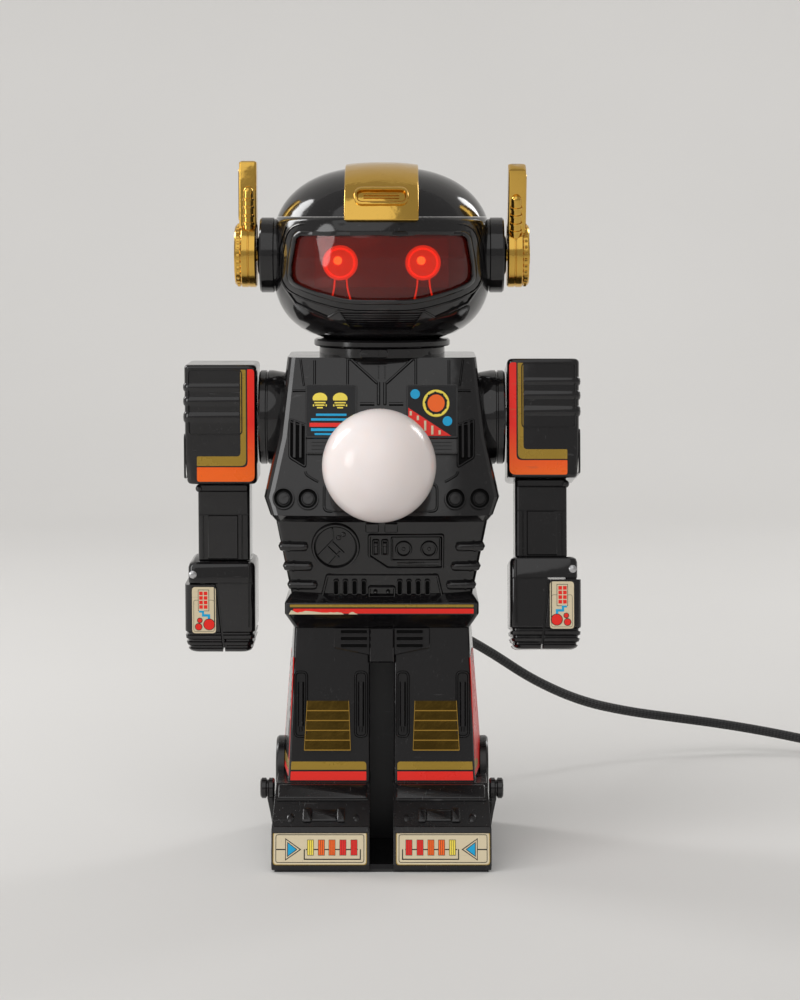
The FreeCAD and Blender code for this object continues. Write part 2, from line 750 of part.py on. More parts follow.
# Ears and antennas
antenna_near = s.ear_face + s.antenna_gap
antenna_far = antenna_near + s.antenna_thick
pivots = []
for side_name, side in SIDES:
    hub = rod("ear_hub", "X", (0, ear_level), side_span(side, s.head_radius - 6.0, s.ear_face),
              s.ear_radius)
    washer = rod("ear_washer", "X", (0, ear_level),
                 side_span(side, s.ear_face, antenna_near - s.seat_gap), s.antenna_bore * 3.0)
    hub_bore = rod("hub_bore", "X", (0, ear_level), (-MOST, MOST), s.antenna_bore + s.fit_gap)
    node("ear_hub_" + side_name, cut("ear", fuse("ear_blank", hub, washer), head_outer, hub_bore))
    disc = rod("antenna_disc", "X", (0, ear_level), side_span(side, antenna_near, antenna_far),
               s.antenna_disc)
    across = side_span(side, antenna_near, antenna_far)
    blade = frustum("antenna_blade", (across, (-s.antenna_low_half, s.antenna_low_half)),
                    (across, (-s.antenna_top_half, s.antenna_top_half)),
                    (ear_level, ear_level + s.antenna_rise))
    pivot_bore = rod("antenna_pivot", "X", (0, ear_level), (-MOST, MOST),
                     s.antenna_bore + s.fit_gap)
    boss_far = antenna_far + s.antenna_boss_thick
    boss = rod("antenna_boss", "X", (0, ear_level), side_span(side, antenna_far, boss_far),
               s.antenna_boss)
    cap_room = rod("cap_room", "X", (0, ear_level), side_span(side, antenna_far, boss_far + 1.0),
                   s.antenna_cap + s.swing_gap)
    antenna = cut("antenna", fuse("antenna_blank", disc, blade, boss), pivot_bore, cap_room)
    if side > 0:
        turn_about(antenna, ear_level, DRIVING["antenna_tilt"])
    node("antenna_" + side_name, antenna)
    shank = rod("pivot_shank", "X", (0, ear_level),
                side_span(side, s.head_radius - 8.0, antenna_far + s.seat_gap), s.antenna_bore)
    cap = rod("pivot_cap", "X", (0, ear_level),
              side_span(side, antenna_far + s.seat_gap, antenna_far + s.antenna_cap_thick),
              s.antenna_cap)
    pivots.append(fuse("antenna_pivot", shank, cap))
node("antenna_pivots", fuse("pivot_pair", *pivots))

# Arms: a shoulder cup on the torso, then a swinging arm with a gripping hand
arm_outer = s.arm_inner + s.arm_width
arm_top = shoulder_level + s.arm_above
arm_low = shoulder_level - s.arm_below
wrist = arm_low - s.forearm_length
hand_outer = s.hand_inner + s.hand_width
frame_low = wrist - s.hand_frame
claw_top = frame_low - s.claw_gap
hand_low = frame_low - s.hand_length
split = s.hand_inner + s.hand_split
pin_across = hand_outer - s.pin_inset
pin_level = wrist - s.pin_drop
palm_depth = (-s.hand_depth_half, s.hand_depth_half)


def sided(side, points):
    """An outline in X and Z, mirrored to its side."""
    return [(side * as_size(across), level) for across, level in points]


for side_name, side in SIDES:
    swing = DRIVING["arm_swing"] if side > 0 else 0.0
    cup = rod("cup", "X", (0, shoulder_level), side_span(side, s.chest_top_half - s.wall, s.cup_face),
              s.cup_radius)
    cup_bore = rod("cup_bore", "X", (0, shoulder_level), (-MOST, MOST), s.axle_radius + s.fit_gap)
    node("shoulder_cup_" + side_name, cut("shoulder_cup", cup, torso_outer, cup_bore))
    casing = box("arm_casing", side_span(side, s.arm_inner, arm_outer),
                 (-s.arm_depth_half, s.arm_depth_half), (arm_low, arm_top))
    room = box("arm_room", side_span(side, s.arm_inner + s.arm_wall, arm_outer + 1.0),
               (s.arm_wall - s.arm_depth_half, s.arm_depth_half - s.arm_wall),
               (arm_low + s.arm_wall, arm_top - s.arm_wall))
    boss = rod("arm_boss", "X", (0, shoulder_level),
               side_span(side, s.arm_inner, arm_outer - s.arm_wall - s.axle_head_thick),
               s.axle_head)
    arm_bore = rod("arm_bore", "X", (0, shoulder_level), (-MOST, MOST), s.axle_radius + s.fit_gap)
    arm_blank = fuse("arm_blank", cut("arm_hollow", casing, room), boss)
    parts = {"upper_arm_": cut("upper_arm", arm_blank, arm_bore)}
    lid = box("arm_lid", side_span(side, arm_outer - s.arm_wall, arm_outer),
              (s.arm_wall + s.fit_gap - s.arm_depth_half, s.arm_depth_half - s.arm_wall - s.fit_gap),
              (arm_low + s.arm_wall + s.fit_gap, arm_top - s.arm_wall - s.fit_gap))
    lid_lip = box("arm_lid_lip", side_span(side, arm_outer - s.arm_wall * 2.0, arm_outer - s.arm_wall),
                  (s.axle_head - s.arm_depth_half, s.arm_depth_half - s.axle_head),
                  (arm_low + s.axle_head, shoulder_level - s.axle_head - 1.0))
    parts["arm_cover_"] = fuse("arm_cover", lid, lid_lip)
    forearm_x = side_span(side, s.forearm_inner, s.forearm_inner + s.forearm_width)
    forearm = box("forearm", forearm_x, (-s.forearm_depth_half, s.forearm_depth_half),
                  (wrist, arm_low))
    parts["forearm_"] = forearm
    palm_points = [(s.hand_inner, wrist), (hand_outer - s.frame_inset, wrist),
                   (hand_outer - s.frame_inset, frame_low), (split, frame_low),
                   (split - s.hand_taper, hand_low), (s.hand_inner + s.hand_taper, hand_low),
                   (s.hand_inner, hand_low + s.hand_taper)]
    palm = prism("palm", "XZ", sided(side, palm_points), palm_depth)
    lug_room = box("lug_room", side_span(side, pin_across - s.lug_radius * 2.0, hand_outer + 1.0),
                   (-s.lug_half - s.swing_gap, s.lug_half + s.swing_gap),
                   (frame_low - 1.0, pin_level + s.lug_radius + s.swing_gap))
    pin_hole = rod("pin_hole", "Y", (side * pin_across, pin_level), (-MOST, MOST),
                   s.pin_radius + s.fit_gap)
    parts["palm_"] = cut("palm_drilled", palm, lug_room, pin_hole)
    claw_points = [(split + s.claw_gap, claw_top), (hand_outer, claw_top),
                   (hand_outer, hand_low + s.hand_taper), (hand_outer - s.hand_taper, hand_low),
                   (split + s.claw_gap - s.hand_taper, hand_low)]
    claw = prism("claw", "XZ", sided(side, claw_points), palm_depth)
    lug = rod("claw_lug", "Y", (side * pin_across, pin_level), (-s.lug_half, s.lug_half),
              s.lug_radius)
    neck = box("claw_neck", side_span(side, pin_across - s.lug_radius, pin_across + s.lug_radius),
               (-s.lug_half, s.lug_half), (claw_top, pin_level))
    lug_bore = rod("lug_bore", "Y", (side * pin_across, pin_level), (-MOST, MOST),
                   s.pin_radius + s.fit_gap)
    parts["claw_"] = cut("claw_drilled", fuse("claw_blank", claw, lug, neck), lug_bore)
    pin = rod("claw_pin", "Y", (side * pin_across, pin_level), palm_depth, s.pin_radius)
    parts["claw_pin_"] = pin
    axle = rod("axle", "X", (0, shoulder_level),
               side_span(side, s.chest_top_half - s.axle_head, arm_outer - s.arm_wall
                         - s.axle_head_thick), s.axle_radius)
    axle_head = rod("axle_head", "X", (0, shoulder_level),
                    side_span(side, arm_outer - s.arm_wall - s.axle_head_thick,
                              arm_outer - s.arm_wall - s.seat_gap), s.axle_head)
    parts["shoulder_axle_"] = fuse("shoulder_axle", axle, axle_head)
    for part_name, thing in parts.items():
        if swing:
            thing = turn_about(common(part_name + "swung", thing,
                                      box("reach", (-MOST, MOST), (-MOST, MOST), (-MOST, MOST))),
                               shoulder_level, -swing)
        node(part_name + side_name, thing)

# Bulb, its holder and the bracket that holds both in the chest
bulb_middle = -s.bulb_front
holder_back = s.holder_length - s.holder_front
neck_front = bulb_middle + s.bulb_radius - s.bulb_neck_length / 2.0
neck_back = neck_front + s.bulb_neck_length
cap_back = neck_back + s.cap_length
globe = ball("globe", (0, bulb_middle, bulb_level), s.bulb_radius)
globe_neck = taper_rod("globe_neck", "Y", (0, bulb_level), (bulb_middle + s.bulb_radius / 2.0, neck_back),
                       (s.bulb_neck * 1.9, s.bulb_neck))
node("bulb_globe", fuse("bulb_globe", globe, globe_neck))
screw_cap = rod("screw_cap", "Y", (0, bulb_level), (neck_back, cap_back), s.cap_radius)
contact = taper_rod("contact", "Y", (0, bulb_level), (cap_back, cap_back + s.contact_length),
                    (s.cap_radius - 1.0, s.contact_radius))
node("bulb_cap", fuse("bulb_cap", screw_cap, contact))
holder = rod("holder", "Y", (0, bulb_level), (-s.holder_front, holder_back), s.holder_radius)
holder_bore = rod("holder_bore", "Y", (0, bulb_level),
                  (-MOST, cap_back + s.contact_length + s.fit_gap), s.cap_radius + s.fit_gap)
holder_mouth = rod("holder_mouth", "Y", (0, bulb_level), (-MOST, neck_back + s.seat_gap),
                   s.bulb_neck + s.mouth_room)
node("lamp_holder", cut("lamp_holder", holder, holder_bore, holder_mouth))
collar_face = chest_front(bulb_level) + s.collar_stand
collar = rod("collar", "Y", (0, bulb_level), (-collar_face, 0), s.collar_radius)
collar_bore = rod("collar_bore", "Y", (0, bulb_level), (-MOST, MOST), s.holder_radius + s.seat_gap)
node("lamp_collar", cut("lamp_collar", collar, collar_bore, torso_outer))
bracket_back = s.chest_back - s.hatch_thick
bracket_low = hatch_top + s.wall
plate_back = holder_back + s.bracket_thick
bracket_plate = box("bracket_plate", (-s.bracket_half, s.bracket_half), (holder_back, plate_back),
                    (bulb_level - s.bracket_half, bracket_low + s.bracket_thick))
bracket_arm = box("bracket_arm", (-s.bracket_half, s.bracket_half),
                  (holder_back, s.chest_back - s.wall),
                  (bracket_low, bracket_low + s.bracket_thick))
node("holder_bracket", fuse("holder_bracket", bracket_plate, bracket_arm))

# Mains entry low on the back: a gland with a tapered strain relief, its nut, and the terminals
gland_face = s.leg_back + s.gland_flange
relief_end = gland_face + s.relief_length
gland_body = rod("gland_body", "Y", (s.gland_side, gland_level),
                 (s.leg_back - s.wall - s.gland_nut_thick, s.leg_back), s.gland_radius)
gland_collar = rod("gland_collar", "Y", (s.gland_side, gland_level), (s.leg_back, gland_face),
                   gland_collar_radius)
relief = taper_rod("relief", "Y", (s.gland_side, gland_level), (gland_face, relief_end),
                   (s.relief_root, s.relief_tip))
node("cable_gland", fuse("cable_gland", gland_body, gland_collar, relief))
nut = rod("nut", "Y", (s.gland_side, gland_level),
          (s.leg_back - s.wall - s.gland_nut_thick, s.leg_back - s.wall), s.gland_nut_radius)
nut_bore = rod("nut_bore", "Y", (s.gland_side, gland_level), (0, MOST), s.gland_radius + s.fit_gap)
node("gland_nut", cut("gland_nut", nut, nut_bore))
block_low = belt_top + s.block_rise - s.block_height
node("terminal_block", box("terminal_block", (-s.block_half, s.block_half),
                           (s.chest_back - s.wall - s.block_depth, s.chest_back - s.wall),
                           (block_low, block_low + s.block_height)))

# Cord: straight runs joined by tangent arcs, from the strain relief down to the table.
# The points are the route of one real cord and are chosen by hand.
cord_radius = DRIVING["cord_diameter"] / 2
table = cord_radius + 0.05
LEAD_ROUTE = [
    Vector(DRIVING["gland_side"], relief_end.value, gland_level.value),
    Vector(18.5, 66, gland_level.value - 0.5),
    Vector(25, 80, gland_level.value - 4.7),
    Vector(35, 95, 73),
    Vector(50, 113, 62),
    Vector(70, 132, 46),
    Vector(94, 157, 31.5),
    Vector(118, 176, 23),
    Vector(143, 187.5, 17.7),
    Vector(167, 192, 13.7),
    Vector(190, 190.5, 10),
    Vector(213, 184, 6.2),
    Vector(234, 173, 3.4),
    Vector(251, 157, table),
    Vector(261, 140, table + 1.4),
    Vector(264, 126, 7.0),
]
LINK_ROUTE = [
    Vector(264, 66, 7.0),
    Vector(264, 50, table + 1.2),
    Vector(267, 33, table),
    Vector(279, 20, table),
    Vector(301, 17.6, table),
]
TAIL_ROUTE = [
    Vector(334.5, 56, 10.6),
    Vector(338, 72, 7.2),
    Vector(341, 88, 3.6),
    Vector(341.5, 101, 4.2),
    Vector(341.5, 112, 7.0),
]


def rounded_path(points):
    """A wire of straight runs joined by tangent arcs; prints each arc's radius."""
    edges = []
    radii = []
    start = points[0]
    for before, corner, after in zip(points, points[1:], points[2:]):
        run_in = corner - before
        run_out = after - corner
        turn = run_in.getAngle(run_out)
        trim = 0.45 * min(run_in.Length, run_out.Length)
        radii.append(trim / math.tan(turn / 2))
        enter = corner - run_in.normalize() * trim
        leave = corner + run_out.normalize() * trim
        inward = run_out - run_in
        inward.normalize()
        depth = radii[-1] * (1 / math.cos(turn / 2) - 1)
        edges.append(Part.LineSegment(start, enter).toShape())
        edges.append(Part.Arc(enter, corner + inward * depth, leave).toShape())
        start = leave
    edges.append(Part.LineSegment(start, points[-1]).toShape())
    print("arc radii:", " ".join("%.0f" % radius for radius in radii))
    return Part.Wire(edges)


def cord_tube(name, points):
    """A round tube along a route, with its volume set against section times length."""
    path = rounded_path(points)
    direction = points[1] - points[0]
    section = Part.Wire([Part.Circle(points[0], direction, cord_radius).toShape()])
    shape = path.makePipeShell([section], True, True)
    expected = math.pi * cord_radius ** 2 * path.Length
    print("%s: length %.1f, volume share %.4f" % (name, path.Length, shape.Volume / expected))
    return node(name, plain_feature(name, shape))


cord_tube("cord_lead", LEAD_ROUTE)
cord_tube("cord_link", LINK_ROUTE)
cord_tube("cord_tail", TAIL_ROUTE)

# Coil of the stored length: the outer shape of its turns, lying on the table
COIL_CENTRE = (305, 50)
coil_out = (s.coil_mean + s.coil_band) / 2.0
coil_in = (s.coil_mean - s.coil_band) / 2.0
coil_blank = rod("coil_blank", "Z", COIL_CENTRE, (0, s.coil_height), coil_out)
coil_hole = rod("coil_hole", "Z", COIL_CENTRE, (0, MOST), coil_in)
node("cord_coil", cut("cord_coil", coil_blank, coil_hole))

# Inline switch: a flat housing with a rocker that tips on a pin across it
switch_entry = LEAD_ROUTE[-1]
switch_x = switch_entry.x
switch_y = switch_entry.y
switch_middle = switch_y - s.switch_length / 2.0
switch_half = s.switch_width / 2.0
housing = box("switch_housing", (switch_x - switch_half, switch_x + switch_half),
              (switch_y - s.switch_length, switch_y), (0, s.switch_height))
rocker_half = s.rocker_width / 2.0
rocker_reach = s.rocker_length / 2.0
rocker_room = box("rocker_room", (switch_x - rocker_half - s.swing_gap,
                                  switch_x + rocker_half + s.swing_gap),
                  (switch_middle - rocker_reach - s.swing_gap * 2.0,
                   switch_middle + rocker_reach + s.swing_gap * 2.0),
                  (s.switch_wall, MOST))
rocker_level = s.switch_height - s.rocker_pin * 1.5
rocker_bore = rod("rocker_bore", "X", (switch_middle, rocker_level),
                  (switch_x - rocker_half - s.rocker_pin, switch_x + rocker_half + s.rocker_pin),
                  s.rocker_pin + s.fit_gap)
node("switch_body", cut("switch_body", housing, rocker_room, rocker_bore))
rocker_low = rocker_level - s.rocker_height
rocker_top = s.switch_height + s.rocker_pin
rocker = prism("rocker", "YZ", [(switch_middle - rocker_reach, rocker_level),
                                (switch_middle - rocker_reach, rocker_top),
                                (switch_middle, s.switch_height),
                                (switch_middle + rocker_reach, rocker_top),
                                (switch_middle + rocker_reach, rocker_level),
                                (switch_middle, rocker_low)],
               (switch_x - rocker_half, switch_x + rocker_half))
rocker_pin = rod("rocker_pin", "X", (switch_middle, rocker_level),
                 (switch_x - rocker_half - s.rocker_pin + s.fit_gap,
                  switch_x + rocker_half + s.rocker_pin - s.fit_gap), s.rocker_pin)
node("switch_rocker", fuse("switch_rocker", rocker, rocker_pin))

# Plug on the far end, lying on the table beside the coil
plug_entry = TAIL_ROUTE[-1]
plug_x = plug_entry.x
plug_half = s.plug_width / 2.0
plug_end = plug_entry.y + s.plug_length
plug_back = prism("plug_body", "XY", [(plug_x - s.relief_root, plug_entry.y),
                                      (plug_x + s.relief_root, plug_entry.y),
                                      (plug_x + plug_half, plug_entry.y + s.plug_length / 2.0),
                                      (plug_x + plug_half, plug_end),
                                      (plug_x - plug_half, plug_end),
                                      (plug_x - plug_half, plug_entry.y + s.plug_length / 2.0)],
                  (0, s.plug_height))
node("plug_body", plug_back)
plug_pins = [rod("plug_pin", "Y", (plug_x + side * s.plug_pin_side, s.plug_height / 2.0),
                 (plug_end, plug_end + s.plug_pin_length), s.plug_pin_radius) for side in (-1, 1)]
node("plug_pins", fuse("plug_pin_pair", *plug_pins))

doc.recompute()

faults = []
for thing in doc.Objects:
    if "Invalid" in thing.State or "Error" in thing.State:
        faults.append("%s is %s" % (thing.Name, thing.State))
for name, thing in NODES.items():
    if thing.Shape.isNull() or not thing.Shape.isValid() or not thing.Shape.Solids:
        faults.append(name + " has no valid solid")
if faults:
    raise RuntimeError("; ".join(faults))

for name, thing in NODES.items():
    thing.Shape.exportStep("parts/%s.step" % name)
    limits = thing.Shape.BoundBox
    print("%-22s %d solid, x %.1f..%.1f, y %.1f..%.1f, z %.1f..%.1f" % (
        name, len(thing.Shape.Solids), limits.XMin, limits.XMax, limits.YMin, limits.YMax,
        limits.ZMin, limits.ZMax))
print(len(NODES), "nodes")
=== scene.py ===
import math

import bpy
import numpy as np
from bpy.props import FloatProperty, FloatVectorProperty, IntProperty, PointerProperty
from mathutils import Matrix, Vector


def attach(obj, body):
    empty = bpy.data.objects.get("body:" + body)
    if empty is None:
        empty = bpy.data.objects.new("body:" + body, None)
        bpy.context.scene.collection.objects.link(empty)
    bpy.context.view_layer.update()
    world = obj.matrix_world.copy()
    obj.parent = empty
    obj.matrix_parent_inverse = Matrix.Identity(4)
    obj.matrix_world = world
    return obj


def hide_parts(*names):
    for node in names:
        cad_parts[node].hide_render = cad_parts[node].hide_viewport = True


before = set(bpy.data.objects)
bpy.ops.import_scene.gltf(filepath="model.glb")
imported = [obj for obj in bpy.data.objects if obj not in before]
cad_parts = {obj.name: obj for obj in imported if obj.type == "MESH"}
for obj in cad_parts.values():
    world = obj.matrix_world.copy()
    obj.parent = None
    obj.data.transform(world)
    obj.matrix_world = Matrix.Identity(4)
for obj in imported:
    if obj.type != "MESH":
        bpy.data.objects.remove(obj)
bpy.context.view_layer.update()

bl_info = {
    "name": "Robot Desk Lamp",
    "version": (1, 0, 0),
    "blender": (4, 5, 0),
    "location": "View3D > Sidebar > Robot Lamp",
    "description": "Dresses the robot shaped desk lamp: mouldings, plating, prints, globe and cord",
    "category": "Object",
}

MM = 0.001
SIDES = (("left", -1), ("right", 1))

# heights and places in millimetres, leans in degrees
HEAD_MIDDLE = 249.8
SEAM = 263.5
EAR = 247.7
SHOULDER = 180.0
ARM_SWING = -10.0
ANTENNA_TILT = 20.0
CROWN = 2.6
CROWN_HALF = 45.0
HEAD_RADIUS = 45.7
HEAD_RISE = 34.6
HEAD_DROP = 38.4
DOME_POWER = 2.4
JAW_POWER = 3.0
WINDOW_LEVELS = (229.9, 234.2, 237.6, 243.8, 256.5)
WINDOW_HALVES = (14.0, 30.5, 37.5, 37.5, 35.0)
LENS_GAPS = (0.1, 0.1, 0.2, 0.2, 0.1)
EYE_PLACE = 16.7
FOOT_SIDE = 44.4
LEVER_PLACE = -30.0
WINDOW_COLUMNS = 24
SPLIT_LEVELS = (83.8, 111.2)
PALM_EDGE = (65.6, 68.5)
CLAW_EDGE = (66.5, 69.4)
CLAW_PIVOT = (78.7, 0, 115.5)
CHEST_FILM = 1.02
GLAND_MIDDLE = (16.5, 0, 85.0)
SWITCH_MIDDLE = (264.0, 96.0)
PLUG_ACROSS = 341.5
COIL_MIDDLE = (305.0, 50.0)


# outlines
def rounded(corners, radii, steps=4):
    """Each corner becomes a parabola from a point before it to one after it, both a radius away:
    (1-t)^2 before + 2t(1-t) corner + t^2 after."""
    corner = np.asarray(corners, float)
    before = np.roll(corner, 1, axis=0) - corner
    after = np.roll(corner, -1, axis=0) - corner
    radii = np.broadcast_to(np.asarray(radii, float), len(corner))[:, None]
    run_in = np.linalg.norm(before, axis=1, keepdims=True)
    run_out = np.linalg.norm(after, axis=1, keepdims=True)
    start = corner + before / run_in * np.minimum(radii, run_in * 0.48)
    end = corner + after / run_out * np.minimum(radii, run_out * 0.48)
    t = np.linspace(0.0, 1.0, steps + 1)[None, :, None]
    curve = (1 - t) ** 2 * start[:, None] + 2 * t * (1 - t) * corner[:, None] + t ** 2 * end[:, None]
    return curve.reshape(-1, 2)


def rectangle(left, right, low, high):
    """The four corners of an upright rectangle."""
    return [(left, low), (right, low), (right, high), (left, high)]


def circle(across, level, radius, count=32):
    """Centre plus radius times cosine and sine, at even angles."""
    angle = np.arange(count) * 2 * math.pi / count
    return np.column_stack([across + radius * np.cos(angle), level + radius * np.sin(angle)])


def side_normals(path, closed):
    """At each point the mitre: the sum of the two neighbouring edge normals, over one plus their product."""
    edge = np.roll(path, -1, axis=0) - path
    if not closed:
        edge[-1] = edge[-2]
    edge = edge / np.linalg.norm(edge, axis=1, keepdims=True)
    normal = np.column_stack([edge[:, 1], -edge[:, 0]])
    previous = np.roll(normal, 1, axis=0)
    if not closed:
        previous[0] = normal[0]
    share = 1 + np.sum(normal * previous, axis=1, keepdims=True)
    return (normal + previous) / np.maximum(share, 0.35)


def inset(outline, depth):
    """The outline moved inwards by depth along its mitres."""
    outline = np.asarray(outline, float)
    after = np.roll(outline, -1, axis=0)
    turn = np.sign(np.sum(outline[:, 0] * after[:, 1] - outline[:, 1] * after[:, 0]))
    return outline - side_normals(outline, True) * depth * turn


def mirrored(outline):
    """The same outline on the other side of the middle."""
    return [(-across, level) for across, level in outline]


def ring_at(flat, level):
    """An outline in x and y as one ring of points at a height."""
    return np.column_stack([flat, np.full(len(flat), level)])


def resampled(path, count, closed=False):
    """Points at even shares of the index along a path, straight between its own points."""
    path = np.asarray(path, float)
    whole = np.concatenate([path, path[:1]]) if closed else path
    step = np.linspace(0, len(whole) - 1, count + closed)[:count]
    return np.column_stack([np.interp(step, np.arange(len(whole)), whole[:, i]) for i in (0, 1)])


def level_line(reach, level, count):
    """A line across at one level, with points close enough to bend with a round face."""
    return np.column_stack([np.linspace(-reach, reach, count), np.full(count, level)])


# faces of the robot that details lie on
def on_plane(origin, across, up):
    """A place on a flat face: origin + a across + b up + h times their unit cross product."""
    origin, across, up = (np.asarray(v, float) for v in (origin, across, up))
    normal = np.cross(across, up)
    normal = normal / np.linalg.norm(normal)

    def place(flat, height=0.0):
        flat = np.asarray(flat, float)
        height = np.broadcast_to(np.asarray(height, float), flat.shape[:-1])[..., None]
        return origin + flat[..., :1] * across + flat[..., 1:] * up + height * normal

    return place


def front(low, low_depth, high, high_depth, crown=0.0):
    """A sloping front face, read in x and z; a crowned one falls back by crown (x / crown half)^3."""
    slope = (high_depth - low_depth) / (high - low)
    flat_face = on_plane((0, low_depth - slope * low, 0), (1, 0, 0), (0, slope, 1))

    def place(flat, height=0.0):
        points = flat_face(flat, height)
        points[..., 1] += crown * np.abs(points[..., 0] / CROWN_HALF) ** 3
        return points

    return place


def flank(low, low_reach, high, high_reach):
    """The sloping face at +x, read in y and z."""
    slope = (high_reach - low_reach) / (high - low)
    return on_plane((low_reach - slope * low, 0, 0), (0, 1, 0), (slope, 0, 1))


CHEST = front(142.6, -40.0, 206.0, -21.0, CROWN)
BELLY = front(109.0, -27.0, 139.5, -35.0, CROWN)
SHIN = front(32.0, -36.0, 94.5, -26.0)
TOE = front(3.2, -62.0, 17.0, -58.0)
INSTEP = front(17.0, -58.0, 32.0, -38.0)
BELT = front(101.0, -31.0, 105.5, -31.001)
ARM = front(150.0, -17.0, 200.0, -17.001)
FOREARM = front(120.0, -11.0, 150.0, -11.001)
HAND = front(83.0, -16.5, 120.0, -16.501)
BACK = on_plane((0, 30.0, 0), (-1, 0, 0), (0, 0, 1))


def shin_side(flat, height=0.0):
    """The side of a leg, read in y and z: at each level a straight line from front edge to seam."""
    flat = np.asarray(flat, float)
    share = (flat[..., 1] - 32.0) / 62.5
    depth = 36.0 - 10.0 * share
    edge, seam = 38.4 - 2.4 * share, 42.4 - 5.0 * share
    across = edge + (seam - edge) * (flat[..., 0] + depth) / depth + height
    return np.stack([across, flat[..., 0], flat[..., 1]], -1)


def head_reach(level, extra=0.0):
    """Radius of the head at a height: (1 - (rise / reach)^power)^(1 / power) times the widest radius."""
    rise = np.asarray(level, float) - HEAD_MIDDLE
    below = np.clip(-rise / (HEAD_DROP + extra), 0, 1)
    above = np.clip(rise / (HEAD_RISE + extra), 0, 1)
    low = (1 - below ** JAW_POWER) ** (1 / JAW_POWER)
    high = (1 - above ** DOME_POWER) ** (1 / DOME_POWER)
    return (HEAD_RADIUS + extra) * np.where(rise < 0, low, high)


def on_head(extra=0.0):
    """A place on the front of the head: y is minus the root of radius squared less x squared."""
    def place(flat, height=0.0):
        flat = np.asarray(flat, float)
        height = np.broadcast_to(np.asarray(height, float), flat.shape[:-1])
        radius = head_reach(flat[..., 1], extra + height)
        depth = -np.sqrt(np.maximum(radius ** 2 - flat[..., 0] ** 2, 1.0))
        return np.stack([flat[..., 0], depth, flat[..., 1]], -1)

    return place


# the mesh of one piece
def grid_quads(index):
    """Four corners for each field between neighbouring rows and columns of a grid."""
    return np.stack([index[:-1, :-1], index[:-1, 1:], index[1:, 1:], index[1:, :-1]], -1).reshape(-1, 4)


def smooth_mesh(name, points, faces, crease=None):
    """A mesh from points in metres, shaded smoothly up to the crease angle."""
    mesh = bpy.data.meshes.new(name)
    mesh.from_pydata(np.asarray(points).reshape(-1, 3).tolist(), [], faces)
    mesh.polygons.foreach_set("use_smooth", np.ones(len(faces), dtype=bool))
    if crease is not None:
        mesh.set_sharp_from_angle(angle=math.radians(crease))
    mesh.update()
    return mesh


def put_in_scene(name, data):
    """A new object at the origin of the scene."""
    item = bpy.data.objects.new(name, data)
    bpy.context.scene.collection.objects.link(item)
    return item


def joined_to_frame(item, body, slot, materials, replaces=()):
    """Gives an object its materials, rides it on its body and hides the solids it replaces. The slot is not
    used.
    """
    for material in materials:
        item.data.materials.append(material)
    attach(item, body)
    if replaces:
        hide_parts(*replaces)


def swung(side, angle, level):
    """Mirror in x for the near side, then a turn about the x axis at a level."""
    turn = math.radians(angle)
    matrix = np.array([[side, 0, 0],
                       [0, math.cos(turn), -math.sin(turn)],
                       [0, math.sin(turn), math.cos(turn)]], float)
    pivot = np.array([0, 0, level], float)

    def move(points):
        return (points - pivot) @ matrix.T + pivot

    return move


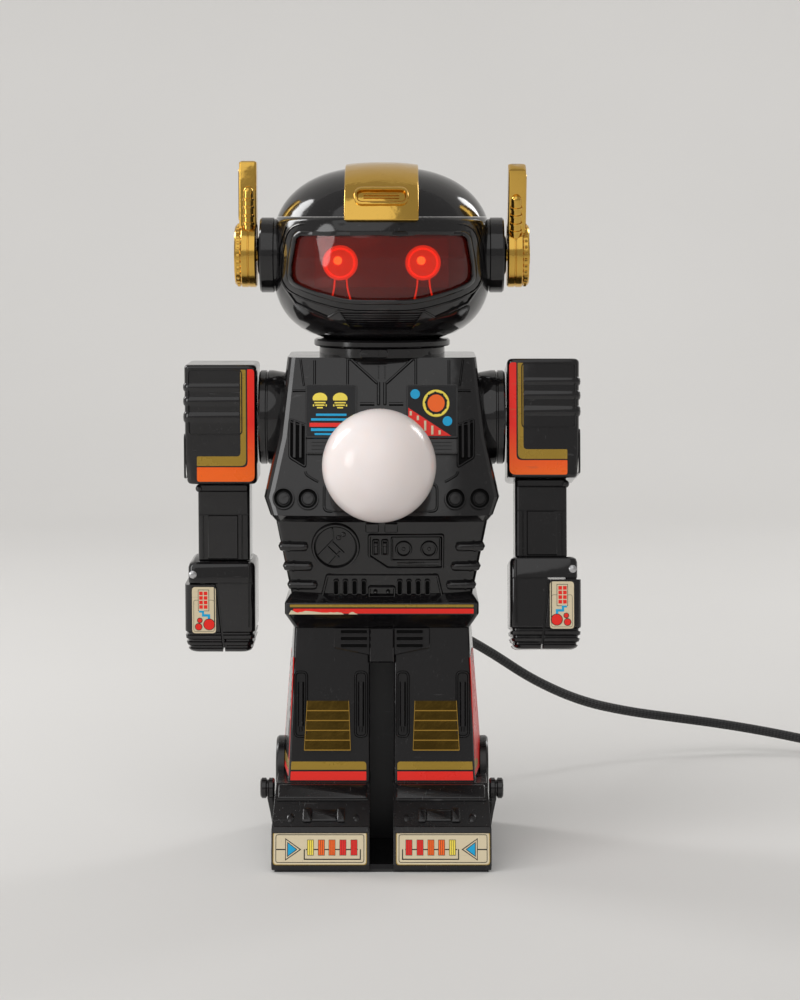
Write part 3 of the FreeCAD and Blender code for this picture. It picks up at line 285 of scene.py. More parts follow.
class Moulding:
    """Closed surfaces of one piece in millimetres, each with a paint number for its material."""

    def __init__(self, move=None):
        self.move = move
        self.points, self.faces, self.paints, self.count = [], [], [], 0

    def both_sides(self):
        """Gives the sides -1 and 1 in turn, and puts what is added meanwhile on that side."""
        for side in (-1, 1):
            self.move = swung(side, 0.0, 0.0)
            yield side

    def add(self, points, quads, caps=(), paint=0):
        """Keeps one closed surface, turned outwards by the sign of its volume, which is a sixth of the
        sum over its triangles of one corner dotted with the cross product of the other two."""
        points = np.asarray(points, float).reshape(-1, 3)
        if self.move is not None:
            points = self.move(points)
        a, b, c, d = (points[quads[:, i]] - points[0] for i in range(4))
        volume = np.sum(a * np.cross(b, c)) + np.sum(a * np.cross(c, d))
        for cap in caps:
            fan = points[cap] - points[0]
            volume += np.sum(fan[0] * np.cross(fan[1:-1], fan[2:]))
        turn = 1 if volume > 0 else -1
        self.faces += (quads[:, ::turn] + self.count).tolist()
        self.faces += [(cap[::turn] + self.count).tolist() for cap in caps]
        self.paints += [paint] * (len(quads) + len(caps))
        self.points.append(points)
        self.count += len(points)

    def loft(self, rings, paint=0, looped=False):
        """Walls between successive closed rings, with flat ends, or round into a loop."""
        rings = np.asarray(rings, float)
        number, around = rings.shape[:2]
        index = np.arange(number * around).reshape(number, around)
        beside = np.roll(index, -1, axis=1)
        above = np.roll(index, -1, axis=0)
        above_beside = np.roll(beside, -1, axis=0)
        quads = np.stack([index, beside, above_beside, above], -1)
        quads = (quads if looped else quads[:-1]).reshape(-1, 4)
        caps = () if looped else (index[0][::-1], index[-1])
        self.add(rings, quads, caps, paint)

    def pad(self, place, outline, low, high, edge=0.3):
        """A plate on a face, its top edge chamfered."""
        outline = np.asarray(outline, float)
        walls = [place(outline, low), place(outline, high - edge)]
        self.loft(walls + [place(inset(outline, edge), high)])

    def sticker(self, place, outline, height, paint):
        """A printed film, a few hundredths thick."""
        outline = np.asarray(outline, float)
        self.loft([place(outline, height - 0.3), place(outline, height)], paint)

    def button(self, place, across, level, radius, high, low=-0.5):
        """A round knob with a domed top: rings of radius cos and height sin."""
        angle = np.linspace(0, math.radians(78), 5)
        rings = [place(circle(across, level, radius, 24), low)]
        rings += [place(circle(across, level, radius * math.cos(a), 24), high * math.sin(a)) for a in angle]
        self.loft(rings)

    def bead(self, place, path, width, high, closed=False, low=-0.5, paint=0):
        """A rib with a rounded back that follows a path on a face."""
        path = np.asarray(path, float)
        normal = side_normals(path, closed)
        offset = np.array([-1.0, -0.92, -0.5, 0.5, 0.92, 1.0]) * width / 2
        height = np.array([low, high * 0.55, high, high, high * 0.55, low])
        flat = path[:, None, :] + normal[:, None, :] * offset[None, :, None]
        self.loft(place(flat, np.broadcast_to(height, flat.shape[:2])), paint, closed)

    def edged(self, place, path, width, high, closed=False):
        """A rib on a band of painted shade a quarter of a millimetre wider on each side, in place of the
        shade of a groove.
        """
        # painted shade: a flat dark band, wider than the rib, stands for the shadow of a groove
        self.bead(place, path, width + 0.5, 0.05, closed, paint=1)
        self.bead(place, path, width, high * 1.3 + 0.2, closed)

    def rail(self, path, level, half, out):
        """A rib at one level round a casing: path in x and y, bulging along its normals."""
        path = np.asarray(path, float)
        normal = side_normals(path, False)
        push = np.array([-0.6, 0.0, out * 0.8, out, out * 0.8, 0.0, -0.6])
        rise = np.array([-1.0, -1.0, -0.62, 0.0, 0.62, 1.0, 1.0]) * half
        flat = path[:, None, :] + normal[:, None, :] * push[None, :, None]
        height = np.broadcast_to(level + rise, flat.shape[:2])[..., None]
        self.loft(np.concatenate([flat, height], -1))

    def turned(self, axis, centre, profile, count=64, paint=0, looped=False):
        """A turned form: each profile pair (radius, place along the axis) becomes a ring."""
        angle = np.arange(count) * 2 * math.pi / count
        radius, along = np.asarray(profile, float).T[:, :, None]
        first, second = radius * np.cos(angle), radius * np.sin(angle)
        along = np.broadcast_to(along, first.shape)
        order = {"x": (along, first, second), "y": (first, along, second), "z": (first, second, along)}[axis]
        self.loft(np.stack(order, -1) + np.asarray(centre, float), paint, looped)

    def skin(self, outer, inner):
        """Two grids of points face to face, joined round their borders into one closed wall."""
        rows, columns = outer.shape[:2]
        index = np.arange(rows * columns).reshape(rows, columns)
        quads = grid_quads(index)
        border = np.concatenate([index[0], index[1:, -1], index[-1, -2::-1], index[-2:0:-1, 0]])
        after = np.roll(border, -1)
        back = rows * columns
        walls = np.stack([after, border, border + back, after + back], -1)
        points = np.concatenate([outer.reshape(-1, 3), inner.reshape(-1, 3)])
        self.add(points, np.concatenate([quads, quads[:, ::-1] + back, walls]))

    def piece(self, name, body, slot, materials, replaces=(), bevel=0.0, crease=34.0):
        """Puts the surfaces into one object in metres, its edges rounded by the bevel."""
        mesh = smooth_mesh(name, np.concatenate(self.points) * MM, self.faces, crease)
        mesh.polygons.foreach_set("material_index", np.asarray(self.paints, dtype=np.int32))
        item = put_in_scene(name, mesh)
        if bevel:
            soften = item.modifiers.new("rounded_edges", "BEVEL")
            soften.width = bevel * MM
            soften.segments = 3
            soften.limit_method = "ANGLE"
            soften.angle_limit = math.radians(crease)
            soften.harden_normals = True
        joined_to_frame(item, body, slot, materials, replaces)
        return item

    def plastic_piece(self, name, body, replaces=(), **looks):
        """The piece in gloss black plastic."""
        return self.piece(name, body, "black_plastic", [finish_of("plastic")], replaces, **looks)

    def printed_piece(self, name, body):
        """The piece as printed film."""
        return self.piece(name, body, "satin_plastic", prints(), crease=30)


# finishes
def fill(tree, socket, value):
    """Sets a socket to a value, or links it where the value is another socket."""
    if isinstance(value, bpy.types.NodeSocket):
        tree.links.new(value, socket)
    else:
        socket.default_value = value


def value_node(tree, kind, **inputs):
    """A node with its named inputs set or linked."""
    node = tree.nodes.new(kind)
    for key, value in inputs.items():
        fill(tree, node.inputs[key], value)
    return node


def calculate(tree, operation, *values):
    """The result of one step of arithmetic on values or sockets."""
    node = tree.nodes.new("ShaderNodeMath")
    node.operation = operation
    for socket, value in zip(node.inputs, values):
        fill(tree, socket, value)
    return node.outputs[0]


def own_place(tree):
    """Where a point lies in its piece's own coordinates, in metres."""
    return tree.nodes.new("ShaderNodeTexCoord").outputs["Object"]


def noise(tree, place, scale, detail, **inputs):
    """Cloudy noise at a place."""
    inputs.update(Vector=place, Scale=scale, Detail=detail)
    return value_node(tree, "ShaderNodeTexNoise", **inputs).outputs[0]


def ramp(tree, source, start, stop, low=0.0, high=1.0):
    """Straight from low to high while the source goes from start to stop, and level outside."""
    node = tree.nodes.new("ShaderNodeMapRange")
    node.clamp = True
    for socket, value in zip(node.inputs, (source, start, stop, low, high)):
        fill(tree, socket, value)
    return node.outputs[0]


def mix_colour(tree, share, first, second):
    """First where the share is 0, second where it is 1."""
    node = tree.nodes.new("ShaderNodeMix")
    node.data_type = "RGBA"
    fill(tree, node.inputs[0], share)
    for socket, value in ((node.inputs[6], first), (node.inputs[7], second)):
        fill(tree, socket, value if isinstance(value, bpy.types.NodeSocket) else (*value[:3], 1.0))
    return node.outputs[2]


def bump(tree, shader, height, strength, distance):
    """Lets a height tilt the shader's normal."""
    node = value_node(tree, "ShaderNodeBump", Strength=strength, Distance=distance, Height=height)
    fill(tree, shader.inputs["Normal"], node.outputs[0])


def wear_group():
    """Shared marks of handling: soft smudges, fine scratches in two directions and dust specks."""
    group = bpy.data.node_groups.get("handling_marks")
    if group:
        return group
    group = bpy.data.node_groups.new("handling_marks", "ShaderNodeTree")
    for name in ("Smudge", "Scratch", "Speck"):
        group.interface.new_socket(name=name, in_out="OUTPUT", socket_type="NodeSocketFloat")
    place = own_place(group)
    out = group.nodes.new("NodeGroupOutput")
    smudge = noise(group, place, 45.0, 5.0, Roughness=0.62)
    fill(group, out.inputs["Smudge"], ramp(group, smudge, 0.40, 0.72))
    marks = []
    for turn, stretch, scale in ((0.6, (1.0, 26.0, 9.0), 70.0), (-0.9, (19.0, 1.4, 7.0), 60.0)):
        stretched = value_node(group, "ShaderNodeMapping", Vector=place, Rotation=(0.4, turn, turn * 0.7),
                               Scale=stretch)
        marks.append(ramp(group, noise(group, stretched.outputs[0], scale, 2.0), 0.69, 0.76))
    fill(group, out.inputs["Scratch"], calculate(group, "MAXIMUM", *marks))
    grains = value_node(group, "ShaderNodeTexVoronoi", Vector=place, Scale=620.0)
    near = ramp(group, grains.outputs["Distance"], 0.13, 0.05)
    where = ramp(group, noise(group, place, 30.0, 3.0), 0.48, 0.66)
    fill(group, out.inputs["Speck"], calculate(group, "MULTIPLY", near, where))
    return group


def new_material(name):
    """A new material, its tree and its shader."""
    material = bpy.data.materials.new(name)
    material.use_nodes = True
    return material, material.node_tree, material.node_tree.nodes["Principled BSDF"]


def worn_material(name):
    """A new material, its tree, its shader and the marks of handling."""
    material, tree, shader = new_material(name)
    wear = tree.nodes.new("ShaderNodeGroup")
    wear.node_tree = wear_group()
    return material, tree, shader, wear.outputs


def smudged(tree, wear, gloss, spread):
    """Roughness that rises by the spread where the surface is smudged."""
    return ramp(tree, wear["Smudge"], 0.0, 1.0, gloss, gloss + spread)


def moulded(name, colour, gloss, dusty=0.5, specular=0.5, grain=0.0):
    """Moulded plastic: colour, with dust, rubbed scratches and uneven gloss; grain adds a fine texture."""
    material, tree, shader, wear = worn_material(name)
    pale = tuple(min(1.0, c + 0.10) for c in colour)
    dust = calculate(tree, "MULTIPLY", wear["Speck"], dusty)
    scratched = calculate(tree, "MULTIPLY", wear["Scratch"], 0.35 * dusty)
    marks = calculate(tree, "MAXIMUM", dust, scratched)
    fill(tree, shader.inputs["Base Color"], mix_colour(tree, marks, colour, pale))
    rough = calculate(tree, "MULTIPLY_ADD", marks, 0.35, smudged(tree, wear, gloss, 0.10))
    fill(tree, shader.inputs["Roughness"], rough)
    shader.inputs["Specular IOR Level"].default_value = specular
    shader.inputs["IOR"].default_value = 1.55
    if grain:
        bump(tree, shader, noise(tree, own_place(tree), 1400.0, 2.0), grain, 0.0002)
    else:
        bump(tree, shader, noise(tree, own_place(tree), 90.0, 2.0), 0.07, 0.0012)
    return material


def plated(name, colour, gloss):
    """Vacuum plating: bright metal with faint ripples, smudges and pin holes."""
    material, tree, shader, wear = worn_material(name)
    worn = tuple(c * 0.45 for c in colour)
    marks = calculate(tree, "MULTIPLY_ADD", wear["Scratch"], 0.25, wear["Speck"])
    fill(tree, shader.inputs["Base Color"], mix_colour(tree, marks, colour, worn))
    shader.inputs["Metallic"].default_value = 1.0
    fill(tree, shader.inputs["Roughness"], smudged(tree, wear, gloss, 0.14))
    bump(tree, shader, noise(tree, own_place(tree), 150.0, 3.0), 0.22, 0.0009)
    return material


def printed(name, colour, second=None, levels=(0.0, 1.0), metallic=0.0, gloss=0.26):
    """Printed film: even ink with tiny gaps and scratches; a second colour blends in with height."""
    material, tree, shader, wear = worn_material(name)
    ink = colour
    if second is not None:
        split = value_node(tree, "ShaderNodeSeparateXYZ", Vector=own_place(tree))
        ink = mix_colour(tree, ramp(tree, split.outputs[2], *levels), colour, second)
    faded = tuple(c * 0.55 + 0.03 for c in colour)
    marks = calculate(tree, "MULTIPLY_ADD", wear["Speck"], 0.7, wear["Scratch"])
    faint = calculate(tree, "MULTIPLY", marks, 0.45)
    fill(tree, shader.inputs["Base Color"], mix_colour(tree, faint, ink, faded))
    shader.inputs["Metallic"].default_value = metallic
    shader.inputs["Specular IOR Level"].default_value = 0.3
    fill(tree, shader.inputs["Roughness"], smudged(tree, wear, gloss, 0.2))
    return material


def clear_red(name, colour, gloss=0.03, glow=0.0, light=(1.0, 0.30, 0.03)):
    """Coloured acrylic: clear, or where it glows, solid and lit from within."""
    material, tree, shader, wear = worn_material(name)
    pale = tuple(min(1.0, c * 0.7 + 0.12) for c in colour)
    marks = calculate(tree, "MULTIPLY", wear["Speck"], 0.35)
    fill(tree, shader.inputs["Base Color"], mix_colour(tree, marks, colour, pale))
    fill(tree, shader.inputs["Roughness"], smudged(tree, wear, gloss, 0.08))
    shader.inputs["Specular IOR Level"].default_value = 0.22
    shader.inputs["Transmission Weight"].default_value = 0.0 if glow else 0.92
    shader.inputs["IOR"].default_value = 1.49
    if glow:
        shader.inputs["Emission Color"].default_value = (*light, 1.0)
        shader.inputs["Emission Strength"].default_value = glow
    return material


def opal(name, colour):
    """Opal glass: white body under a clear gloss, very faintly cloudy."""
    material, tree, shader = new_material(name)
    cloud = noise(tree, own_place(tree), 35.0, 3.0)
    warm = (colour[0], colour[1] * 0.975, colour[2] * 0.95)
    fill(tree, shader.inputs["Base Color"], mix_colour(tree, ramp(tree, cloud, 0.35, 0.7), colour, warm))
    fill(tree, shader.inputs["Roughness"], ramp(tree, cloud, 0.3, 0.8, 0.15, 0.20))
    shader.inputs["Subsurface Weight"].default_value = 0.6
    shader.inputs["Subsurface Radius"].default_value = (0.012, 0.010, 0.009)
    shader.inputs["IOR"].default_value = 1.5
    return material


def braided(name, colour):
    """A textile sleeve: two sets of threads that cross, sine of length plus and minus turn."""
    material, tree, shader = new_material(name)
    along_and_round = tree.nodes.new("ShaderNodeTexCoord").outputs["UV"]
    along, around, _ = value_node(tree, "ShaderNodeSeparateXYZ", Vector=along_and_round).outputs
    threads = []
    for sign in (1.0, -1.0):
        turn = calculate(tree, "MULTIPLY", around, sign * 8 * 2 * math.pi)
        phase = calculate(tree, "MULTIPLY_ADD", along, 6200.0, turn)
        threads.append(calculate(tree, "SINE", phase))
    height = ramp(tree, calculate(tree, "MULTIPLY", *threads), -1.0, 1.0)
    pale = tuple(c + 0.022 for c in colour)
    fill(tree, shader.inputs["Base Color"], mix_colour(tree, height, colour, pale))
    shader.inputs["Roughness"].default_value = 0.72
    shader.inputs["Sheen Weight"].default_value = 0.08
    shader.inputs["Sheen Roughness"].default_value = 0.4
    bump(tree, shader, height, 0.8, 0.0004)
    return material


# settings shown in the panel
def length(name, default, low, high, description):
    """A size of the panel in metres."""
    return FloatProperty(name=name, description=description, unit="LENGTH", default=default,
                         min=low, max=high)


def tint(name, default, description):
    """A colour of the panel."""
    return FloatVectorProperty(name=name, description=description, subtype="COLOR", default=default,
                               min=0, max=1)


class RobotLampSizes(bpy.types.PropertyGroup):
    """Sizes that a user may change before the pieces are made."""

    bulb_diameter: length("Bulb diameter", 0.0456, 0.03, 0.047, "Outside diameter of the opal globe")
    cord_diameter: length("Cord diameter", 0.0045, 0.003, 0.006, "Diameter of the braided cord")
    cord_length: length("Cord length", 1.78, 1.0, 2.5, "Length from the back of the legs to the plug")
    coil_turns: IntProperty(name="Coil turns", description="Whole turns of the cord that is put away",
                            default=8, min=6, max=8)
    casing_round: length("Edge rounding", 0.0011, 0.0003, 0.002, "Rounding of the edges of the casings")


class RobotLampColours(bpy.types.PropertyGroup):
    """Colours of the mouldings, the plating and the prints."""

    plastic: tint("Plastic", (0.006, 0.0055, 0.006), "Gloss moulded plastic")
    gold: tint("Plating", (0.72, 0.44, 0.09), "Vacuum plated trim")
    red: tint("Red print", (0.74, 0.02, 0.012), "Red of the stripes")
    orange: tint("Orange print", (0.84, 0.125, 0.01), "Orange of the arm stripes")
    olive: tint("Gold print", (0.34, 0.215, 0.03), "Dull gold of the stripes")
    blue: tint("Blue print", (0.005, 0.33, 0.60), "Light blue of the prints")
    yellow: tint("Yellow print", (0.80, 0.64, 0.08), "Yellow of the prints")
    cream: tint("Cream film", (0.62, 0.53, 0.36), "Ground of the foot and hand prints")
    visor: tint("Visor", (0.60, 0.05, 0.03), "Clear red of the visor")
    globe: tint("Globe", (0.84, 0.775, 0.76), "Opal glass of the bulb")


FINISHES = {}


def finish_of(name):
    """The finishes are made once, from the colours of the panel."""
    if not FINISHES:
        colours = bpy.context.scene.robot_lamp_colours
        FINISHES.update(
            plastic=moulded("gloss_black_plastic", colours.plastic, 0.06),
            dull=moulded("dull_black_print", (0.006, 0.006, 0.007), 0.3, dusty=0.3, specular=0.3),
            recess=moulded("painted_groove_shade", (0.003, 0.003, 0.003), 0.6, dusty=0.1, specular=0.05),
            # painted shade: a near black finish that barely reflects, laid flat where grooves, slots and
            # rings would lie in shade
            dusty=moulded("dusty_black_plastic", colours.plastic, 0.20, dusty=1.0),
            satin=moulded("satin_black_plastic", (0.016, 0.016, 0.017), 0.38, dusty=0.2, grain=0.25),
            rubber=moulded("black_rubber", (0.02, 0.02, 0.02), 0.75, dusty=0.3, grain=0.5),
            board=moulded("phenolic_board", (0.075, 0.03, 0.018), 0.5, dusty=0.3),
            gold=plated("gold_plating", colours.gold, 0.10),
            # painted shade: the gold plating at a seventh of its brightness, a darkened copy for the grille
            # slats
            old_gold=plated("gold_plating_painted_shade", tuple(c * 0.14 for c in colours.gold), 0.16),
            dark_steel=plated("blackened_steel", (0.035, 0.035, 0.037), 0.4),
            steel=plated("zinc_steel", (0.55, 0.55, 0.56), 0.28),
            red=printed("red_foil", colours.red),
            orange=printed("red_orange_foil", colours.orange, colours.red, (0.158, 0.178)),
            amber=printed("orange_print", colours.orange),
            olive=printed("gold_foil", colours.olive, metallic=0.3, gloss=0.22),
            blue=printed("blue_print", colours.blue),
            yellow=printed("yellow_print", colours.yellow),
            cream=printed("cream_film", colours.cream, gloss=0.25),
            visor=clear_red("clear_red_acrylic", colours.visor),
            lamp=clear_red("red_lamp_cap", (0.75, 0.03, 0.02), 0.12, 1.0),
            lamp_core=clear_red("lit_lamp_core", (0.9, 0.2, 0.05), 0.2, 3.6, (1.0, 1.0, 0.25)),
            globe=opal("opal_glass", colours.globe),
            sleeve=braided("braided_sleeve", (0.006, 0.006, 0.007)),
        )
    return FINISHES[name]


def rounding():
    """The rounding of the casings' edges in millimetres."""
    return bpy.context.scene.robot_lamp_sizes.casing_round / MM


def prints():
    """The printed films in the order of their paint numbers."""
    names = ("dull", "red", "blue", "yellow", "cream", "olive", "orange", "amber")
    return [finish_of(name) for name in names]


BLACK, RED, BLUE, YELLOW, CREAM, GOLD, ORANGE, AMBER = range(8)


class MakerBase:
    """Shared options of the piece makers."""

    bl_options = {"REGISTER", "UNDO"}


def half_section(half, front_depth, back_depth, level, corner, seam_front, crown=0.0):
    """One closed ring of a half casing: rounded on the outside, square at the seam. A crowned front
    falls back by crown (x / crown half)^3."""
    if seam_front:
        depth = front_depth - crown * (half / CROWN_HALF) ** 3
        corners = [(half, -0.1), (half, -depth), (-half, -depth), (-half, -0.1)]
    else:
        corners = [(-half, 0.1), (-half, back_depth), (half, back_depth), (half, 0.1)]
    flat = rounded(corners, (0.15, corner, corner, 0.15), 5)
    if crown:
        across = np.linspace(half - corner, corner - half, 25)[1:-1]
        bow = np.column_stack([across, crown * np.abs(across / CROWN_HALF) ** 3 - front_depth])
        drop = crown * ((half / CROWN_HALF) ** 3 - ((half - corner) / CROWN_HALF) ** 3)
        flat[6:12, 1] -= drop * np.linspace(0, 1, 6)
        flat[12:18, 1] -= drop * np.linspace(1, 0, 6)
        flat = np.concatenate([flat[:12], bow, flat[12:]])
    return ring_at(flat, level)


# head
class MakeHead(MakerBase, bpy.types.Operator):
    """Make the dome, the lower head shell with its window, and the seam between them."""

    bl_idname = "robot_lamp.head"
    bl_label = "Head shells"

    def execute(self, context):
        levels = np.concatenate([np.linspace(213.5, 229.9, 9), np.linspace(231.3, 234.2, 3),
                                 np.linspace(235.9, 237.6, 2), np.linspace(240.6, 243.8, 2),
                                 np.linspace(247.0, 256.5, 5), np.linspace(258.2, 263.4, 4)])
        half = np.interp(levels, WINDOW_LEVELS, WINDOW_HALVES)
        radius = head_reach(levels)
        widest = head_reach(np.clip(levels, WINDOW_LEVELS[0], WINDOW_LEVELS[-1]))
        opening = np.arcsin(np.minimum(half / widest, 0.999))
        share = np.linspace(-1, 1, WINDOW_COLUMNS + 1)[None, :]
        middle = opening[:, None] * share
        around = np.linspace(0, 1, 72)[None, 1:-1]
        rest = opening[:, None] + (2 * math.pi - 2 * opening[:, None]) * around
        angle = np.concatenate([middle, rest], 1)
        shell = np.stack([radius[:, None] * np.sin(angle), -radius[:, None] * np.cos(angle),
                          np.broadcast_to(levels[:, None], angle.shape)], -1)
        floor = shell[:1] * np.array([0.46, 0.46, 1.0])
        shell = np.concatenate([floor, shell])
        level_of = np.concatenate([[213.5], levels])
        rows, columns = shell.shape[:2]
        index = np.arange(rows * columns).reshape(rows, columns)
        beside = np.roll(index, -1, axis=1)
        quads = np.stack([index[:-1], beside[:-1], beside[1:], index[1:]], -1)
        open_rows = (level_of[:-1] >= WINDOW_LEVELS[0] - 0.1) & (level_of[1:] <= WINDOW_LEVELS[-1] + 0.1)
        keep = np.ones(quads.shape[:2], bool)
        keep[np.ix_(open_rows, np.arange(WINDOW_COLUMNS))] = False
        lower = put_in_scene("head_lower", smooth_mesh("head_lower", shell * MM, quads[keep].tolist(), 40))
        wall = lower.modifiers.new("wall", "SOLIDIFY")
        wall.thickness, wall.offset, wall.use_even_offset = 0.002, -1.0, True
        joined_to_frame(lower, "head", "black_plastic", [finish_of("plastic")], ["head_lower_shell"])

        dome = Moulding()
        power = 2 / DOME_POWER
        start = math.asin(((SEAM + 0.15 - HEAD_MIDDLE) / HEAD_RISE) ** (1 / power))
        turn = np.linspace(start, math.pi / 2 * 0.985, 22)
        outer = [(HEAD_RADIUS * math.cos(t) ** power, HEAD_MIDDLE + HEAD_RISE * math.sin(t) ** power)
                 for t in turn]
        inner = [(r * 0.955, z - 1.9 * (z - SEAM) / 21.0) for r, z in outer]
        dome.turned("z", (0, 0, 0), outer + inner[::-1], 96, looped=True)
        dome.turned("z", (0, 0, 0), [(2.5, 283.2), (2.5, 284.3), (1.2, 284.38)], 24)
        dome.plastic_piece("head_top", "head", ["head_dome"], crease=50)
        return {"FINISHED"}


VISOR = list(zip(WINDOW_HALVES, WINDOW_LEVELS))[::-1]
VISOR += mirrored(VISOR)[::-1]


class MakeFace(MakerBase, bpy.types.Operator):
    """Make the red visor, its frame, the mask line, the mouth grille and the eye lamps."""

    bl_idname = "robot_lamp.face"
    bl_label = "Visor and eyes"

    def execute(self, context):
        place = on_head()
        levels = np.linspace(230.0, 256.4, 26)
        half = np.interp(levels, WINDOW_LEVELS, np.subtract(WINDOW_HALVES, LENS_GAPS))
        flat = np.stack([half[:, None] * np.linspace(-1, 1, 49)[None, :],
                         np.broadcast_to(levels[:, None], (26, 49))], -1)
        lens = Moulding()
        lens.skin(place(flat, -0.8), place(flat, -2.2))
        lens.piece("visor_window", "head", "red_visor", [finish_of("visor")], ["visor_lens"], crease=60)

        trim = Moulding()
        dense = resampled(rounded(VISOR, (3, 3, 3, 6, 6, 6, 6, 3, 3, 3), 5), 160, True)
        trim.bead(place, inset(dense, -0.5), 2.0, 0.75, True, low=-1.9)
        trim.bead(place, inset(dense, -4.2), 0.7, 0.35, True)
        cheek = [(-39.5, 259.8), (-42.5, 251.0), (-42.5, 238.0), (-35.5, 228.5), (-22.0, 222.8),
                 (-17.4, 225.6)]
        trim.bead(place, resampled(cheek + mirrored(cheek)[::-1], 111), 0.9, 0.45)
        for level in np.arange(218.8, 225.4, 0.95):
            reach = 12.0 + (level - 218.0) * 0.66
            trim.bead(place, level_line(reach, level, 25), 0.34, 0.32)
        for side in (-1, 1):
            edge = np.column_stack([np.linspace(17.2, 12.2, 8) * side, np.linspace(225.6, 218.0, 8)])
            trim.bead(place, edge, 0.6, 0.5)
        trim.bead(place, level_line(12.2, 218.0, 21), 0.6, 0.5)
        trim.plastic_piece("visor_frame", "head")

        eyes = Moulding()
        for side in (-1, 1):
            centre = (side * EYE_PLACE, 0, 245.0)
            eyes.turned("y", centre, [(0.3, -27.0), (7.1, -27.0), (7.1, -29.6), (6.7, -30.1), (6.1, -30.1),
                                      (5.7, -29.4), (0.3, -29.4)], 48)
            angle = np.linspace(0.02, math.pi / 2, 10)
            dome = [(5.6 * math.sin(a), -29.6 - 5.6 * math.cos(a)) for a in angle]
            eyes.turned("y", centre, dome + [(5.6, -29.0)], 40)
            core = [(0.2, -36.2), (1.2, -36.0), (1.7, -35.2), (1.7, -33.0)]
            eyes.turned("y", (side * EYE_PLACE - 0.8, 0, 246.0), core, 24, paint=1)
            # painted light: the wire legs below each eye take the glowing lamp cap finish, so they shine
            # though they are no lamps
            for shift in (-2.2, 2.6):
                drop = np.linspace(0, 1, 14)
                path = np.column_stack([side * EYE_PLACE + shift + shift * 0.7 * drop ** 2,
                                        238.6 - 9.0 * drop])
                wall = on_plane((0, -28.6, 0), (1, 0, 0), (0, 0, 1))
                eyes.bead(wall, path, 0.7, 0.7, low=0.0)
        eyes.piece("eye_lamp_pair", "head", "red_lamp", [finish_of("lamp"), finish_of("lamp_core")],
                   ["eye_lamps"])
        return {"FINISHED"}


class MakeCrown(MakerBase, bpy.types.Operator):
    """Make the plated band over the top of the head."""

    bl_idname = "robot_lamp.crown"
    bl_label = "Crown band"

    def execute(self, context):
        across = np.linspace(-15.0, 15.0, 13)[None, :]
        share = np.linspace(0, 1, 40)[:, None]

        def sheet(extra):
            """Along a direction from the middle, the distance where the superellipse sum reaches one."""
            first = np.arctan2(262.2 - HEAD_MIDDLE, np.sqrt(head_reach(262.2, extra) ** 2 - across ** 2))
            last = math.pi - math.atan2(30.5, 22.0)
            angle = first + (last - first) * share
            low, high = np.zeros(angle.shape), np.full(angle.shape, 60.0)
            for _ in range(40):
                middle = (low + high) / 2
                flat = np.sqrt(across ** 2 + (middle * np.cos(angle)) ** 2) / (HEAD_RADIUS + extra)
                total = flat ** DOME_POWER + (middle * np.sin(angle) / (HEAD_RISE + extra)) ** DOME_POWER
                low, high = np.where(total < 1, middle, low), np.where(total < 1, high, middle)
            return np.stack([np.broadcast_to(across, angle.shape), -low * np.cos(angle),
                             HEAD_MIDDLE + low * np.sin(angle)], -1)

        band = Moulding()
        band.skin(sheet(1.7), sheet(0.05))
        band.piece("crown_band", "head", "gold_plating", [finish_of("gold")], ["crown_plate"], bevel=0.5,
                   crease=50)
        badge = Moulding()
        stadium = rounded(rectangle(-10.4, 10.4, 269.2, 275.0), 2.8, 6)
        badge.bead(on_head(1.7), resampled(stadium, 80, True), 1.6, 0.9, True)
        for level in (271.4, 272.6):
            badge.bead(on_head(1.7), level_line(7.2, level, 17), 0.8, 0.35)
        badge.piece("crown_ring", "head", "gold_plating", [finish_of("gold")])
        return {"FINISHED"}


HUB_PROFILE = [(12.0, 37.0), (15.0, 37.0), (15.0, 44.6), (15.6, 45.0), (15.6, 49.9), (15.0, 50.6),
               (13.4, 50.7), (13.2, 50.1), (9.0, 50.1), (8.8, 50.8), (7.2, 51.6), (2.6, 51.8)]
DISC_PROFILE = [(2.6, 52.0), (12.8, 52.0), (13.4, 52.6), (13.4, 54.9), (13.15, 55.1), (13.15, 55.5),
                (13.4, 55.7), (13.4, 58.0), (12.9, 58.6), (12.6, 58.7), (12.6, 60.4), (12.1, 61.0),
                (9.6, 61.0), (9.2, 60.5), (6.4, 60.5), (6.0, 61.0), (4.8, 61.0), (4.6, 60.6), (4.6, 58.7),
                (2.6, 58.6)]


